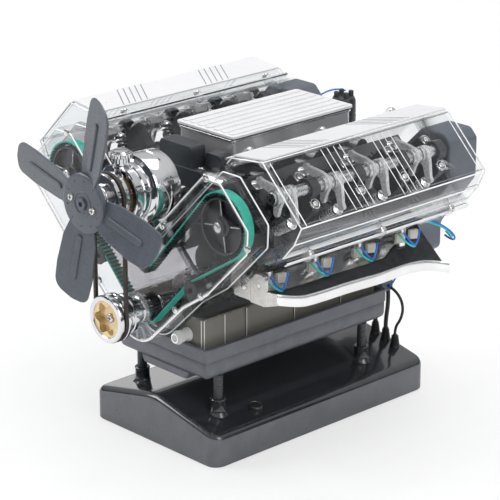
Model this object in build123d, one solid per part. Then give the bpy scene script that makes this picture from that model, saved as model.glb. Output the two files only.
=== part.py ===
from build123d import *
import math
import os

# A see-through V8 teaching engine on its stand. The crank lies along Y, the fan faces -Y,
# X = 0 is the middle of the V and the stand rests on Z = 0. Lengths are in millimetres.

# Fits and gaps
RUNNING_FIT = 0.05
SLIDING_FIT = 0.1
SEAT_GAP = 0.05
ROOM = 0.5
OVERRUN = 6

# Engine layout
CRANK_HEIGHT = 98
BANK_TILT = 45
CYLINDERS_PER_BANK = 4
CYLINDER_PITCH = 41
FIRST_THROW_Y = -66
BORE = 30
STROKE = 16
ROD_LENGTH = 60
ROD_THICKNESS = 5.4
ROD_SPACING = 6.2
DECK = 78
CLEAR_WALL = 2.2

# Crankshaft
JOURNAL_RADIUS = 5
PIN_RADIUS = 5
CHEEK_RADIUS = 12.5
CHEEK_THICKNESS = 4
PIN_SIDE_PLAY = 0.3
CRANK_NOSE_RADIUS = 4
CRANK_NOSE_END = -131
CRANK_SCREW_RADIUS = 1.5
CRANK_REAR_END = 92
FIRST_BANK_FIRING_ANGLE = BANK_TILT

# Pistons and rods
PISTON_WALL = 1.6
CROWN_HEIGHT = 8.5
CROWN_THICKNESS = 3
SKIRT_DROP = 9
BIG_END_RADIUS = 8
SMALL_END_RADIUS = 4.4
WRIST_PIN_RADIUS = 2
WRIST_PIN_LENGTH = 10
SHANK_WIDTH = 4.6
SHANK_WEB = 3
PIN_SIDES = 8

# Cylinder block
BLOCK_FRONT = -92
BLOCK_REAR = 84
BANK_HALF_WIDTH = 20
CRANKCASE_HALF_WIDTH = 36
RAIL_DROP = 4
RAIL_WIDTH = 3
RAIL_THICKNESS = 2.5
VALLEY_RISE = 38
DECK_THICKNESS = 4
BULKHEAD_THICKNESS = 7
BULKHEAD_SHOULDER = 8
BULKHEAD_TOP_RISE = 31
BULKHEAD_TOP_HALF = 20
LINER_WALL = 1.5
LINER_LENGTH = 38
CAP_HALF_WIDTH = 13
CAP_DEPTH = 9

# Cylinder heads
HEAD_HALF_WIDTH = 30
VALVE_DECK_RISE = 16
HEAD_RIM_RISE = 22
HEAD_FLOOR = 5
HEAD_FLANGE = 3
FLANGE_INNER = 37
FLANGE_OUTER = 42
VALVE_DECK_THICKNESS = 2.5
COVE_WIDTH = 25
COVE_SPRING_RISE = 6
VALVE_TILT = 14
VALVE_OFFSET = 7
VALVE_SIDE_STEP = 4.5
VALVE_SEAT_HEIGHT = 2
VALVE_HEAD_RADIUS = 5.5
VALVE_HEAD_THICKNESS = 1.2
VALVE_POCKET = 2.2
STEM_RADIUS = 1.2
STEM_SIDES = 6
DISC_SIDES = 12
SPRING_SIDES = 8
VALVE_TIP_REACH = 38
RETAINER_RADIUS = 4
RETAINER_THICKNESS = 1.4
RETAINER_REACH = 35
SPRING_RADIUS = 3.8
SPRING_WALL = 1
SPRING_FOOT_REACH = 18.2

# Cam gear
CAM_RISE = 10
CAM_SHAFT_RADIUS = 3.5
CAM_BASE_RADIUS = 5.6
CAM_LIFT = 1.6
CAM_NOSE_RADIUS = 2.6
CAM_WIDTH = 5
CAM_BASE_STEPS = 6
CAM_REAR_END = 74
CAM_PHASE = 55
BRACKET_HALF_WIDTH = 14
BRACKET_THICKNESS = 7
BRACKET_SHOULDER_DROP = 4.5
ROCKER_SHAFT_RISE = 21.5
ROCKER_SHAFT_RADIUS = 4
BRACKET_RING = 2.4
BRACKET_SCREW_INSET = 4
ROCKER_BOSS_RADIUS = 5.6
ROCKER_ARM_WIDTH = 4
ROCKER_TIP_HALF = 2.2
ROCKER_LASH = 0.4
ROCKER_PAD_SIDE = 8
ROCKER_PAD_DROP = 10.2

# Rocker covers
COVER_FRONT = -91
COVER_REAR = 79
COVER_HEADROOM = 22
COVER_FLANGE = 3
COVER_INNER_RISE = 9.5
COVER_BEVEL_WIDTH = 17.5
COVER_INNER_HALF = 34
COVER_FACE_OUTER = 32.5
COVER_SIDE_BREAK = 37
COVER_SIDE_BREAK_DROP = 13.5
COVER_BASE_OUTER = 38
STRIP_THICKNESS = 1.4
STRIP_RIB = 0.7

# Timing end
TIMING_WALL = 3
TIMING_BACK_Y = -96
TIMING_FRONT_Y = -114
TIMING_FACE = 2
LIMB_HALF_WIDTH = 28.5
LIMB_INNER = 29.7
LIMB_WAIST = 23
LIMB_WAIST_REACH = 41
FOOT_RADIUS = 22
LIMB_SHOULDER_REACH = 68
LIMB_END = 131
LIMB_END_HALF = 18
LIMB_CHAMFER_DROP = 12
SPROCKET_TEETH = 12
SPROCKET_PITCH_RADIUS = 10.6
TOOTH_DEPTH = 1.2
TOOTH_SHARES = ((-0.3, -1), (-0.16, 0), (0.16, 0), (0.3, -1))
WHEEL_WIDTH = 7.5
WHEEL_PLANE_Y = -104
WHEEL_RIM = 3.2
WHEEL_HUB_RADIUS = 6.5
WHEEL_SPOKE = 3
WHEEL_WEB = 3
BELT_THICKNESS = 1.1
BELT_WIDTH = 7
SIDE_IDLER_REACH = 49
SIDE_IDLER_OFFSET = 15.2
SIDE_IDLER_RADIUS = 5.6
CENTRE_IDLER_RISE = 29.5
CENTRE_IDLER_RADIUS = 4.8
IDLER_PIN_RADIUS = 1.8
IDLER_LIP = 0.6

# Fan drive
FAN_RISE = 82
PULLEY_GROOVE_RADIUS = 13.6
CRANK_PULLEY_RADIUS = 16
FAN_PULLEY_RADIUS = 15.6
PULLEY_PLANE_Y = -136
PULLEY_WIDTH = 10
FAN_BELT_WIDTH = 2.6
FAN_BELT_THICKNESS = 2.6
GROOVE_PLAY = 0.3
PULLEY_HUB_RADIUS = 9
PULLEY_DRUM_RADIUS = 13.4
PULLEY_DRUM_LENGTH = 8
PULLEY_LOBES = 6
LOBE_RADIUS = 3.7
LOBE_CIRCLE = 8.2
PULLEY_RECESS = 5
SCREW_HEAD_RADIUS = 3
SCREW_HEAD_HEIGHT = 1.8
FAN_SHAFT_RADIUS = 3
FAN_FACE_Y = -157.5
FAN_HUB_RADIUS = 19.5
FAN_HUB_THICKNESS = 4
FAN_BLADES = 4
FAN_RADIUS = 70.5
BLADE_ROOT = 15
BLADE_ROOT_HALF = 9
BLADE_HALF = 14.3
BLADE_THICKNESS = 1.6
BLADE_PITCH = -15
BLADE_FIRST_ANGLE = 14
BLADE_RIB_START = 23
BLADE_RIB_LENGTH = 31
BLADE_RIB_WIDTH = 4.4
BLADE_RIB_HEIGHT = 1.2
BLADE_LEAD_SHARES = ((1, 1.5), (0.78, 0.52), (0, 0))
BLADE_TRAIL_SHARES = ((-0.68, 0.16), (-1, 0.8))
HUB_BOSS_RADIUS = 5
HUB_BOSS_HEIGHT = 1.6
HUB_SCREW_CIRCLE = 10.7
HUB_SCREW_ANGLE = 12
NOSE_RADIUS = 9.5
NOSE_STEP_RADIUS = 7

# Coolant pump drum behind the fan
PUMP_FRONT_Y = -128.7
PUMP_STEP_Y = -122
PUMP_DRUM_Y = -115
PUMP_REAR_Y = -94
PUMP_NECK_RADIUS = 19.3
PUMP_STEP_RADIUS = 18.9
PUMP_DRUM_RADIUS = 23
PUMP_MOUTH_RADIUS = 14.4
PUMP_MOUTH_DEPTH = 5
PUMP_FOOT_HALF_WIDTH = 9
PUMP_FOOT_LENGTH = 12
PUMP_FOOT_REAR_Y = -79
PUMP_ARM_HEIGHT = 14
FILLER_NECK_RADIUS = 4.2
FILLER_NECK_RISE = 20.6
FILLER_CAP_RADIUS = 8
FILLER_CAP_HEIGHT = 8
FILLER_CAP_KNURLS = 12
FILLER_KNURL_RADIUS = 1

# Intake
PLENUM_HALF_WIDTH = 26
PLENUM_FRONT = -53
PLENUM_REAR = 55
PLENUM_BASE_RISE = 89
PLENUM_HEIGHT = 19
PLENUM_LID_THICKNESS = 2
PLENUM_LID_LIP = 1.5
PLENUM_RIBS = 12
PLENUM_RIB_HEIGHT = 1
MANIFOLD_HALF_WIDTH = 19
MANIFOLD_RISE = 76
RUNNER_RADIUS = 6
RUNNER_RISE = 83
INTAKE_BOXES = ((-21, 10, -75, -62, 104), (13, 28, -66, -56, 100))
DISTRIBUTOR_Y = 75
DISTRIBUTOR_RADIUS = 8.5
DISTRIBUTOR_BASE_RISE = 84
DISTRIBUTOR_TOP_RISE = 107
DISTRIBUTOR_STEM_RADIUS = 5
TOWER_RADIUS = 1.8
TOWER_HEIGHT = 4

# Ignition lamps
PLUG_RISE = 3
PLUG_SIDE = 8
PLUG_TILT = 62
PLUG_BODY_RADIUS = 2.6
PLUG_HEX_RADIUS = 4.4
PLUG_LENGTH = 16
PLUG_HEX_LENGTH = 3
LEAD_RADIUS = 0.5
LEAD_SIDES = 4
LEAD_SPREAD = 8.5
LAMP_BLOCK_WIDTH = 6
LAMP_BLOCK_HEIGHT = 5
LAMP_BLOCK_DEPTH = 3
LAMP_BLOCK_STEP = 5.5

# Exhaust shields: how far along each station stands, how far out its lip is and how high from the crank
EXHAUST_STATIONS = (
    (-86, 91, 30),
    (-80, 98, 28),
    (-60, 101.5, 23.5),
    (-21, 101.5, 22.5),
    (8, 100, 20.5),
    (27, 96, 18.5),
    (47, 91.5, 16),
    (62, 91.5, 14),
    (72, 95, 12),
    (78, 98.5, 10.5),
)
EXHAUST_ROOT = (64, 31.6)
EXHAUST_WALL = 2.2
EXHAUST_LIP = 8
EXHAUST_PORT_RADIUS = 4.2
EXHAUST_PORT_SIDE = 27
EXHAUST_PORT_LENGTH = 14
EXHAUST_TABS = ((64, 79.5, 21, 37, -88.5, -85.5), (79, 93, 20, 41, -88.5, -85.5))
EXHAUST_TAB_CORNER = 4

# Rear end
HOUSING_REAR_Y = 112
BELL_REAR_Y = 124
BELL_RADIUS = 30
HOUSING_WALL = 2.5
HOUSING_FOOT = (30, -14)
HOUSING_WAIST = (60, 4)
HOUSING_WAIST_TOP = (60, 22)
HOUSING_SHOULDER = (90, 62)
HOUSING_CROWN = (90, 90)
HOUSING_TOP_OUTER = (84, 96)
HOUSING_TOP_INNER = (64, 96)
HOUSING_NECK = (40, 72)
HOUSING_VALLEY = 42
HOUSING_BOX_HALF = 31
HOUSING_BOX_REAR_Y = 96
HOUSING_BOX_DROP = 32
MOTOR_SHAFT_RADIUS = 2.5
MOTOR_RADIUS = 14
MOTOR_FRONT_Y = 94
MOTOR_PLATE_RADIUS = 22
MOTOR_PLATE_THICKNESS = 3

# Sump and tray
SUMP_HALF_WIDTH = 36
SUMP_FRONT = -89.5
SUMP_REAR = 72.5
SUMP_DEPTH = 40
SUMP_CORNER = 3
TRAY_HALF_WIDTH = 44
TRAY_FRONT = -94
TRAY_REAR = 76
TRAY_RIM_DROP = 22.5
TRAY_PARTING_DROP = 32
TRAY_PARTING_STEP = 1
TRAY_BOTTOM_DROP = 44
TRAY_BELLY_DROP = 49.5
TRAY_BELLY_HALF = 24
TRAY_BELLY_SLOPE = 3
TRAY_CORNER = 4
TRAY_EDGE = 3
TRAY_WALL = 3
COCK_X = 22
COCK_DROP = 17.4
COCK_RADIUS = 3.8
COCK_FLANGE_RADIUS = 4.7
COCK_FLANGE = 1.5
COCK_LENGTH = 12
COCK_BORE = 1.6

# Stand
STAND_HALF_WIDTH = 61
STAND_FRONT = -102
STAND_REAR = 99
STAND_EDGE = 22
STAND_RIDGE = 35
STAND_CORNER = 9
STAND_TOP_ROUND = 4
STAND_RIDGE_ROUND = 40
STAND_WALL = 2.6
STAND_FLOOR = 2.5
POST_X = 38
POST_FRONT_Y = -78
POST_REAR_Y = 57
POST_RADIUS = 3.3
COLLAR_RADIUS = 4.9
COLLAR_TOP = 37
COLLAR_FLARE = 1.5
BUTTON_X = 47
BUTTON_Y = -53
BUTTON_RADIUS = 4.6
BUTTON_PROUD = 3.2
BUTTON_TRAVEL = 1.5
BUTTON_FLANGE = 1.4
BUTTON_FLANGE_RADIUS = 6.2
BUTTON_STEM_RADIUS = 2
BUTTON_STEM_LENGTH = 5
BOARD_HALF_X = 10
BOARD_HALF_Y = 20
BOARD_THICKNESS = 1.6
BOARD_POST_RADIUS = 2.5
SWITCH_HALF = 4
SWITCH_HEIGHT = 2
HATCH_HALF_X = 26
HATCH_HALF_Y = 29
HATCH_GAP = 0.3

# Cords behind the engine
CORD_RADIUS = 1.5
THIN_CORD_RADIUS = 1
GLAND_RADIUS = 3.2
GLAND_TIP_RADIUS = 2
GLAND_HEIGHT = 9
GLAND_RIBS = 2
GLAND_RIB_PROUD = 0.5
BEND_SHARE = 0.45
LEFT_CORD_PLAN = ((18, 92), (18, 92), (21.5, 92), (24, 92), (24, 92))
LEFT_CORD_SHARES = (0, 0.2, 0.51, 0.79, 1)
LEFT_CORD_ENTRY = 3
MIDDLE_CORD_PLAN = ((28, 92), (28, 92), (29, 92.5), (29, 93), (28.5, 93))
MIDDLE_CORD_SHARES = (0, 0.2, 0.49, 0.755, 1)
MIDDLE_CORD_ENTRY = 2.5
THIN_CORD_PLAN = ((38, 91), (38, 91), (41.5, 92.5), (43, 93.5), (41, 93.5), (35.5, 92), (29.5, 90))
THIN_CORD_SHARES = (0, 0.145, 0.315, 0.53, 0.745, 0.93, 1)
THIN_CORD_ENTRY = 5

# Screws
SCREW_RADIUS = 2.3
SCREW_HEIGHT = 1.6
BOSS_RADIUS = 3.2
COVER_SCREW_Y_SHARES = (0.12, 0.5, 0.88)

SIDES = {"right": 1, "left": -1}
BASE = (Align.CENTER, Align.CENTER, Align.MIN)
CORNER = (Align.MIN, Align.MIN, Align.MIN)
CRANK_RADIUS = STROKE / 2
LINER_RADIUS = BORE / 2 + LINER_WALL
HEAD_BASE = DECK + SEAT_GAP
VALVE_DECK = DECK + VALVE_DECK_RISE
HEAD_TOP = VALVE_DECK + HEAD_RIM_RISE
COVE_SPRING = DECK + COVE_SPRING_RISE
PLUG_REACH = DECK + PLUG_RISE
CAM_REACH = VALVE_DECK + CAM_RISE
ROCKER_SHAFT_REACH = CAM_REACH + ROCKER_SHAFT_RISE
BRACKET_SHOULDER = ROCKER_SHAFT_REACH - BRACKET_SHOULDER_DROP
HEAD_FRONT = BLOCK_FRONT
HEAD_REAR = BLOCK_REAR - CLEAR_WALL
COVER_BASE = HEAD_TOP + SEAT_GAP
COVER_TOP = ROCKER_SHAFT_REACH + COVER_HEADROOM
CAM_WHEEL_PITCH_RADIUS = 2 * SPROCKET_PITCH_RADIUS
FAN_HEIGHT = CRANK_HEIGHT + FAN_RISE
FILLER_NECK_TOP = FAN_HEIGHT + FILLER_NECK_RISE
MANIFOLD_BASE = CRANK_HEIGHT + MANIFOLD_RISE
RUNNER_HEIGHT = CRANK_HEIGHT + RUNNER_RISE
PLENUM_BASE = CRANK_HEIGHT + PLENUM_BASE_RISE
PLENUM_TOP = PLENUM_BASE + PLENUM_HEIGHT
DISTRIBUTOR_BASE = CRANK_HEIGHT + DISTRIBUTOR_BASE_RISE
DISTRIBUTOR_TOP = CRANK_HEIGHT + DISTRIBUTOR_TOP_RISE
SUMP_FLOOR = CRANK_HEIGHT - SUMP_DEPTH
TRAY_RIM = CRANK_HEIGHT - TRAY_RIM_DROP
TRAY_PARTING = CRANK_HEIGHT - TRAY_PARTING_DROP
TRAY_BOTTOM = CRANK_HEIGHT - TRAY_BOTTOM_DROP
TRAY_BELLY = CRANK_HEIGHT - TRAY_BELLY_DROP
COCK_Z = CRANK_HEIGHT - COCK_DROP


def box(x_from, x_to, y_from, y_to, z_from, z_to):
    """A box between two opposite corners."""
    size = (x_to - x_from, y_to - y_from, z_to - z_from)
    return Pos(x_from, y_from, z_from) * Box(*size, align=CORNER)


def bar_y(radius, y_from, y_to, x=0, z=0):
    """A round bar along Y."""
    return Pos(x, y_from, z) * (Rot(-90, 0, 0) * Cylinder(radius, y_to - y_from, align=BASE))


def bar_z(radius, z_from, z_to, x=0, y=0):
    """An upright round bar."""
    return Pos(x, y, z_from) * Cylinder(radius, z_to - z_from, align=BASE)


def bar(radius, start, end):
    """A round bar from one point to another."""
    start = Vector(*start)
    along = Vector(*end) - start
    return Plane(origin=start, z_dir=along) * Cylinder(radius, along.length, align=BASE)


def faceted_bar(radius, start, end, sides):
    """A many-sided bar from one point to another."""
    start = Vector(*start)
    along = Vector(*end) - start
    return extrude(Plane(origin=start, z_dir=along) * RegularPolygon(radius, sides), amount=along.length)


def snug(radius, sides):
    """The corner radius of a many-sided hole that just clears a round shaft."""
    return (radius + RUNNING_FIT) / math.cos(math.pi / sides)


def prism_y(points, y_from, y_to):
    """An outline of (x, z) points drawn out along Y."""
    outline = Polyline(*[(x, y_from, z) for x, z in points], close=True)
    return extrude(make_face(outline), amount=y_to - y_from, dir=(0, 1, 0))


def hexagon_bar(radius, height):
    """A six-sided head standing on Z = 0."""
    return extrude(RegularPolygon(radius, 6), amount=height)


def together(shapes):
    """Several separate solids held as one shape."""
    return Compound([solid for shape in shapes for solid in shape.solids()])


def keep(name, *shapes):
    """Write one named piece, or one group of alike pieces."""
    export_step(together(shapes), os.path.join("parts", name + ".step"))


def on_bank(shape, side):
    """Turn a shape drawn on an upright cylinder line, outward along +X, on to its bank."""
    if side < 0:
        shape = mirror(shape, Plane.YZ)
    return Pos(0, 0, CRANK_HEIGHT) * (Rot(0, side * BANK_TILT, 0) * shape)


def bank_point(across, reach):
    """The (x, z) place, from the crank, of a point of the right bank."""
    tilt = math.radians(BANK_TILT)
    x = reach * math.sin(tilt) + across * math.cos(tilt)
    z = reach * math.cos(tilt) - across * math.sin(tilt)
    return x, z


def throw_y(index):
    """The middle of a crank throw."""
    return FIRST_THROW_Y + index * CYLINDER_PITCH


def bore_y(index, side):
    """The middle of a cylinder: the two banks' rods share a crank pin side by side."""
    return throw_y(index) - side * ROD_SPACING / 2


def main_y(index):
    """The middle of a main journal, from 0 at the front to 4 at the rear."""
    return throw_y(index) - CYLINDER_PITCH / 2


def mirrored(half):
    """A right half outline and its mirror image, joined into one closed outline."""
    return half + [(-x, z) for x, z in reversed(half) if x > 0]


def raised(points, rise=CRANK_HEIGHT):
    """Move (x, z) points up from the crank's height."""
    return [(x, z + rise) for x, z in points]


def outer_throws():
    return [0, CYLINDERS_PER_BANK - 1]


def inner_throws():
    return [index for index in range(CYLINDERS_PER_BANK) if index not in outer_throws()]


def throw_angle(index):
    """A throw's angle from upright at rest: outer throws fire right, inner ones opposite."""
    return FIRST_BANK_FIRING_ANGLE if index in outer_throws() else FIRST_BANK_FIRING_ANGLE + 180


def pin_centre(index, share=1):
    """The crank pin's (x, z) at rest, or a share of the way out to it."""
    angle = math.radians(throw_angle(index))
    return share * CRANK_RADIUS * math.sin(angle), CRANK_HEIGHT + share * CRANK_RADIUS * math.cos(angle)


def piston_reach(index, side):
    """How far along its bank a wrist pin stands at rest."""
    lag = math.radians(throw_angle(index) - side * BANK_TILT)
    return CRANK_RADIUS * math.cos(lag) + ROD_LENGTH


# Crankcase, cylinders and bearings


def block_outline(inset, deck_inset, open_drop=0):
    """The block's V section, set in by its wall, and run down past the rail where it opens."""
    half = CRANKCASE_HALF_WIDTH - inset
    out = BANK_HALF_WIDTH - inset
    tilt = math.radians(BANK_TILT)
    knee_reach = (half - out * math.cos(tilt)) / math.sin(tilt)
    valley_reach = (VALLEY_RISE - inset - out * math.sin(tilt)) / math.cos(tilt)
    half_outline = [
        (half, -RAIL_DROP - open_drop),
        bank_point(out, knee_reach),
        bank_point(out, DECK - deck_inset),
        bank_point(-out, DECK - deck_inset),
        bank_point(-out, valley_reach),
    ]
    return raised(mirrored(half_outline))


def bulkhead(index):
    """The web that carries one main journal, cut for the journal."""
    half = CRANKCASE_HALF_WIDTH - CLEAR_WALL
    valley = VALLEY_RISE - CLEAR_WALL
    side = [
        (half, 0),
        (half, BULKHEAD_SHOULDER),
        (BULKHEAD_TOP_HALF, BULKHEAD_TOP_RISE),
        (BULKHEAD_SHOULDER, valley),
    ]
    y = main_y(index)
    return prism_y(raised(mirrored(side)), y - BULKHEAD_THICKNESS / 2, y + BULKHEAD_THICKNESS / 2)


def cylinder_block():
    solid = prism_y(block_outline(0, 0), BLOCK_FRONT, BLOCK_REAR)
    hollow = prism_y(
        block_outline(CLEAR_WALL, DECK_THICKNESS, OVERRUN),
        BLOCK_FRONT + CLEAR_WALL,
        BLOCK_REAR - CLEAR_WALL,
    )
    rail_bottom = CRANK_HEIGHT - RAIL_DROP
    rail_half = CRANKCASE_HALF_WIDTH + RAIL_WIDTH
    rail = box(-rail_half, rail_half, BLOCK_FRONT, BLOCK_REAR, rail_bottom, rail_bottom + RAIL_THICKNESS)
    inner_half = CRANKCASE_HALF_WIDTH - CLEAR_WALL
    rail -= box(
        -inner_half,
        inner_half,
        BLOCK_FRONT + CLEAR_WALL,
        BLOCK_REAR - CLEAR_WALL,
        rail_bottom - OVERRUN,
        rail_bottom + OVERRUN,
    )
    solid = solid - hollow + rail
    for index in range(1, CYLINDERS_PER_BANK):
        solid += bulkhead(index)
    solid -= bar_y(JOURNAL_RADIUS + RUNNING_FIT, BLOCK_FRONT - OVERRUN, BLOCK_REAR + OVERRUN, z=CRANK_HEIGHT)
    for side in SIDES.values():
        for index in range(CYLINDERS_PER_BANK):
            y = bore_y(index, side)
            hole = bar_z(LINER_RADIUS + SEAT_GAP, DECK - LINER_LENGTH / 2, DECK + OVERRUN, y=y)
            solid -= on_bank(hole, side)
    return solid


def cylinder_liners():
    tubes = []
    for side in SIDES.values():
        for index in range(CYLINDERS_PER_BANK):
            y = bore_y(index, side)
            tube = bar_z(LINER_RADIUS, DECK - LINER_LENGTH, DECK, y=y)
            tube -= bar_z(BORE / 2, DECK - LINER_LENGTH - OVERRUN, DECK + OVERRUN, y=y)
            tubes.append(on_bank(tube, side))
    return tubes


def main_bearing_caps():
    caps = []
    for index in range(1, CYLINDERS_PER_BANK):
        y = main_y(index)
        front = y - BULKHEAD_THICKNESS / 2
        rear = y + BULKHEAD_THICKNESS / 2
        top = CRANK_HEIGHT - SEAT_GAP
        cap = box(-CAP_HALF_WIDTH, CAP_HALF_WIDTH, front, rear, top - CAP_DEPTH, top)
        cap -= bar_y(JOURNAL_RADIUS + RUNNING_FIT, front - OVERRUN, rear + OVERRUN, z=CRANK_HEIGHT)
        caps.append(cap)
    return caps


# Crank train


def pulley_well_floor():
    """How far back the crank pulley's face well reaches."""
    return PULLEY_PLANE_Y - PULLEY_WIDTH / 2 + PULLEY_RECESS


def crankshaft():
    """The crank's journals and pins, with a nose for the pulleys and a tail for the motor."""
    pieces = []
    web = ROD_SPACING / 2 + ROD_THICKNESS / 2 + PIN_SIDE_PLAY
    for index in range(CYLINDERS_PER_BANK):
        x, z = pin_centre(index)
        pieces.append(bar_y(PIN_RADIUS, throw_y(index) - web, throw_y(index) + web, x, z))
    reach = web + SEAT_GAP + CHEEK_THICKNESS + SEAT_GAP
    for index in range(1, CYLINDERS_PER_BANK):
        start = throw_y(index - 1) + reach
        end = throw_y(index) - reach
        pieces.append(bar_y(JOURNAL_RADIUS, start, end, z=CRANK_HEIGHT))
    front = bar_y(JOURNAL_RADIUS, TIMING_BACK_Y - RUNNING_FIT, throw_y(0) - reach, z=CRANK_HEIGHT)
    front += bar_y(CRANK_NOSE_RADIUS, CRANK_NOSE_END, TIMING_BACK_Y, z=CRANK_HEIGHT)
    seat = pulley_well_floor() - SEAT_GAP
    screw = bar_y(SCREW_HEAD_RADIUS, seat - SCREW_HEAD_HEIGHT, seat, z=CRANK_HEIGHT)
    front += screw + bar_y(CRANK_SCREW_RADIUS, seat, CRANK_NOSE_END, z=CRANK_HEIGHT)
    last = CYLINDERS_PER_BANK - 1
    rear = bar_y(JOURNAL_RADIUS, throw_y(last) + reach, CRANK_REAR_END, z=CRANK_HEIGHT)
    return pieces + [front, rear]


def crank_cheeks(throws):
    """Round webs, one each side of a pin, centred half way out to it."""
    discs = []
    web = ROD_SPACING / 2 + ROD_THICKNESS / 2 + PIN_SIDE_PLAY + SEAT_GAP
    for index in throws:
        x, z = pin_centre(index, 1 / 2)
        y = throw_y(index)
        discs.append(bar_y(CHEEK_RADIUS, y - web - CHEEK_THICKNESS, y - web, x, z))
        discs.append(bar_y(CHEEK_RADIUS, y + web, y + web + CHEEK_THICKNESS, x, z))
    return discs


def piston(index, side):
    pin = piston_reach(index, side)
    y = bore_y(index, side)
    outer = BORE / 2 - SLIDING_FIT
    body = bar_z(outer, pin - SKIRT_DROP, pin + CROWN_HEIGHT, y=y)
    body -= bar_z(outer - PISTON_WALL, pin - SKIRT_DROP - OVERRUN, pin + CROWN_HEIGHT - CROWN_THICKNESS, y=y)
    return on_bank(body, side)


def connecting_rod(index, side):
    """A rod with its wrist pin pressed in the small end, standing on its crank pin."""
    angle = math.radians(throw_angle(index) - side * BANK_TILT)
    across = side * CRANK_RADIUS * math.sin(angle)
    big = CRANK_RADIUS * math.cos(angle)
    small = big + ROD_LENGTH
    y = bore_y(index, side)
    half = ROD_THICKNESS / 2
    rod = bar_y(BIG_END_RADIUS, y - half, y + half, across, big)
    rod += box(
        across - SHANK_WIDTH / 2,
        across + SHANK_WIDTH / 2,
        y - SHANK_WEB / 2,
        y + SHANK_WEB / 2,
        big + PIN_RADIUS,
        small,
    )
    rod += bar_y(SMALL_END_RADIUS, y - half, y + half, across, small)
    pin_front = (across, y - WRIST_PIN_LENGTH / 2, small)
    pin_rear = (across, y + WRIST_PIN_LENGTH / 2, small)
    rod += faceted_bar(WRIST_PIN_RADIUS, pin_front, pin_rear, PIN_SIDES)
    rod -= bar_y(PIN_RADIUS + RUNNING_FIT, y - half - OVERRUN, y + half + OVERRUN, across, big)
    return on_bank(rod, side)


# Cylinder heads and valve gear


def valve_line(index, side, way):
    """A valve's seat centre and its direction; way is -1 for intake and 1 for exhaust."""
    tilt = math.radians(VALVE_TILT)
    y = bore_y(index, side) + way * VALVE_SIDE_STEP
    seat = Vector(way * VALVE_OFFSET, y, HEAD_BASE + VALVE_SEAT_HEIGHT)
    return seat, Vector(way * math.sin(tilt), 0, math.cos(tilt))


def valve_lines(side):
    """Every valve line of a bank."""
    lines = []
    for index in range(CYLINDERS_PER_BANK):
        for way in (-1, 1):
            lines.append(valve_line(index, side, way))
    return lines


def plug_line(index, side):
    """A lamp plug's inner end and its direction out through the cove."""
    tilt = math.radians(PLUG_TILT)
    start = Vector(PLUG_SIDE, bore_y(index, side) - VALVE_SIDE_STEP, PLUG_REACH)
    return start, Vector(math.sin(tilt), 0, math.cos(tilt))


def cylinder_head(side):
    """The clear head: chamber floor, valve deck, cove windows and a flange for the cover."""
    wall = CLEAR_WALL
    head = box(-HEAD_HALF_WIDTH, HEAD_HALF_WIDTH, HEAD_FRONT, HEAD_REAR, HEAD_BASE, HEAD_TOP)
    flange_bottom = HEAD_TOP - HEAD_FLANGE
    head += box(-FLANGE_INNER, FLANGE_OUTER, HEAD_FRONT, HEAD_REAR, flange_bottom, HEAD_TOP)
    inner = HEAD_HALF_WIDTH - wall
    lower_top = VALVE_DECK
    head -= box(-inner, inner, HEAD_FRONT + wall, HEAD_REAR - wall, HEAD_BASE + HEAD_FLOOR, lower_top)
    upper_bottom = VALVE_DECK + VALVE_DECK_THICKNESS
    head -= box(-inner, inner, HEAD_FRONT + wall, HEAD_REAR - wall, upper_bottom, HEAD_TOP + OVERRUN)
    for index in range(CYLINDERS_PER_BANK):
        y = bore_y(index, side)
        cove_bottom = HEAD_BASE + HEAD_FLOOR
        cove = box(
            inner - OVERRUN,
            HEAD_HALF_WIDTH + OVERRUN,
            y - COVE_WIDTH / 2,
            y + COVE_WIDTH / 2,
            cove_bottom,
            COVE_SPRING,
        )
        through = (HEAD_HALF_WIDTH + OVERRUN, y, COVE_SPRING)
        arch = bar(COVE_WIDTH / 2, (inner - OVERRUN, y, COVE_SPRING), through)
        arch &= box(
            inner - 2 * OVERRUN,
            HEAD_HALF_WIDTH + 2 * OVERRUN,
            y - COVE_WIDTH,
            y + COVE_WIDTH,
            COVE_SPRING,
            VALVE_DECK,
        )
        head -= cove + arch
        start, way = plug_line(index, side)
        hole = PLUG_BODY_RADIUS + SEAT_GAP
        head -= faceted_bar(hole, start - way * OVERRUN, start + 2 * way * OVERRUN, PIN_SIDES)
    for seat, way in valve_lines(side):
        pocket = VALVE_HEAD_RADIUS + ROOM
        head -= faceted_bar(pocket, seat - way * OVERRUN, seat + way * VALVE_POCKET, DISC_SIDES)
        head -= faceted_bar(STEM_RADIUS + RUNNING_FIT, seat, seat + way * VALVE_TIP_REACH, STEM_SIDES)
    head -= bar_y(CAM_SHAFT_RADIUS + ROOM, HEAD_FRONT - OVERRUN, HEAD_FRONT + wall + OVERRUN, z=CAM_REACH)
    return on_bank(head, side)


def valves(side):
    stems = []
    for seat, way in valve_lines(side):
        flat = faceted_bar(VALVE_HEAD_RADIUS, seat, seat + way * VALVE_HEAD_THICKNESS, DISC_SIDES)
        stem = faceted_bar(STEM_RADIUS, seat, seat + way * VALVE_TIP_REACH, STEM_SIDES)
        collar = seat + way * RETAINER_REACH
        retainer = faceted_bar(RETAINER_RADIUS, collar, collar + way * RETAINER_THICKNESS, SPRING_SIDES)
        stems.append(on_bank(flat + stem + retainer, side))
    return stems


def valve_springs(side):
    """Each spring as a sleeve between the valve deck and its retainer."""
    sleeves = []
    for seat, way in valve_lines(side):
        foot = seat + way * SPRING_FOOT_REACH
        top = seat + way * (RETAINER_REACH - SEAT_GAP)
        sleeve = faceted_bar(SPRING_RADIUS, foot, top, SPRING_SIDES)
        hollow = SPRING_RADIUS - SPRING_WALL
        sleeve -= faceted_bar(hollow, foot - way * OVERRUN, top + way * OVERRUN, SPRING_SIDES)
        sleeves.append(on_bank(sleeve, side))
    return sleeves


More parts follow.
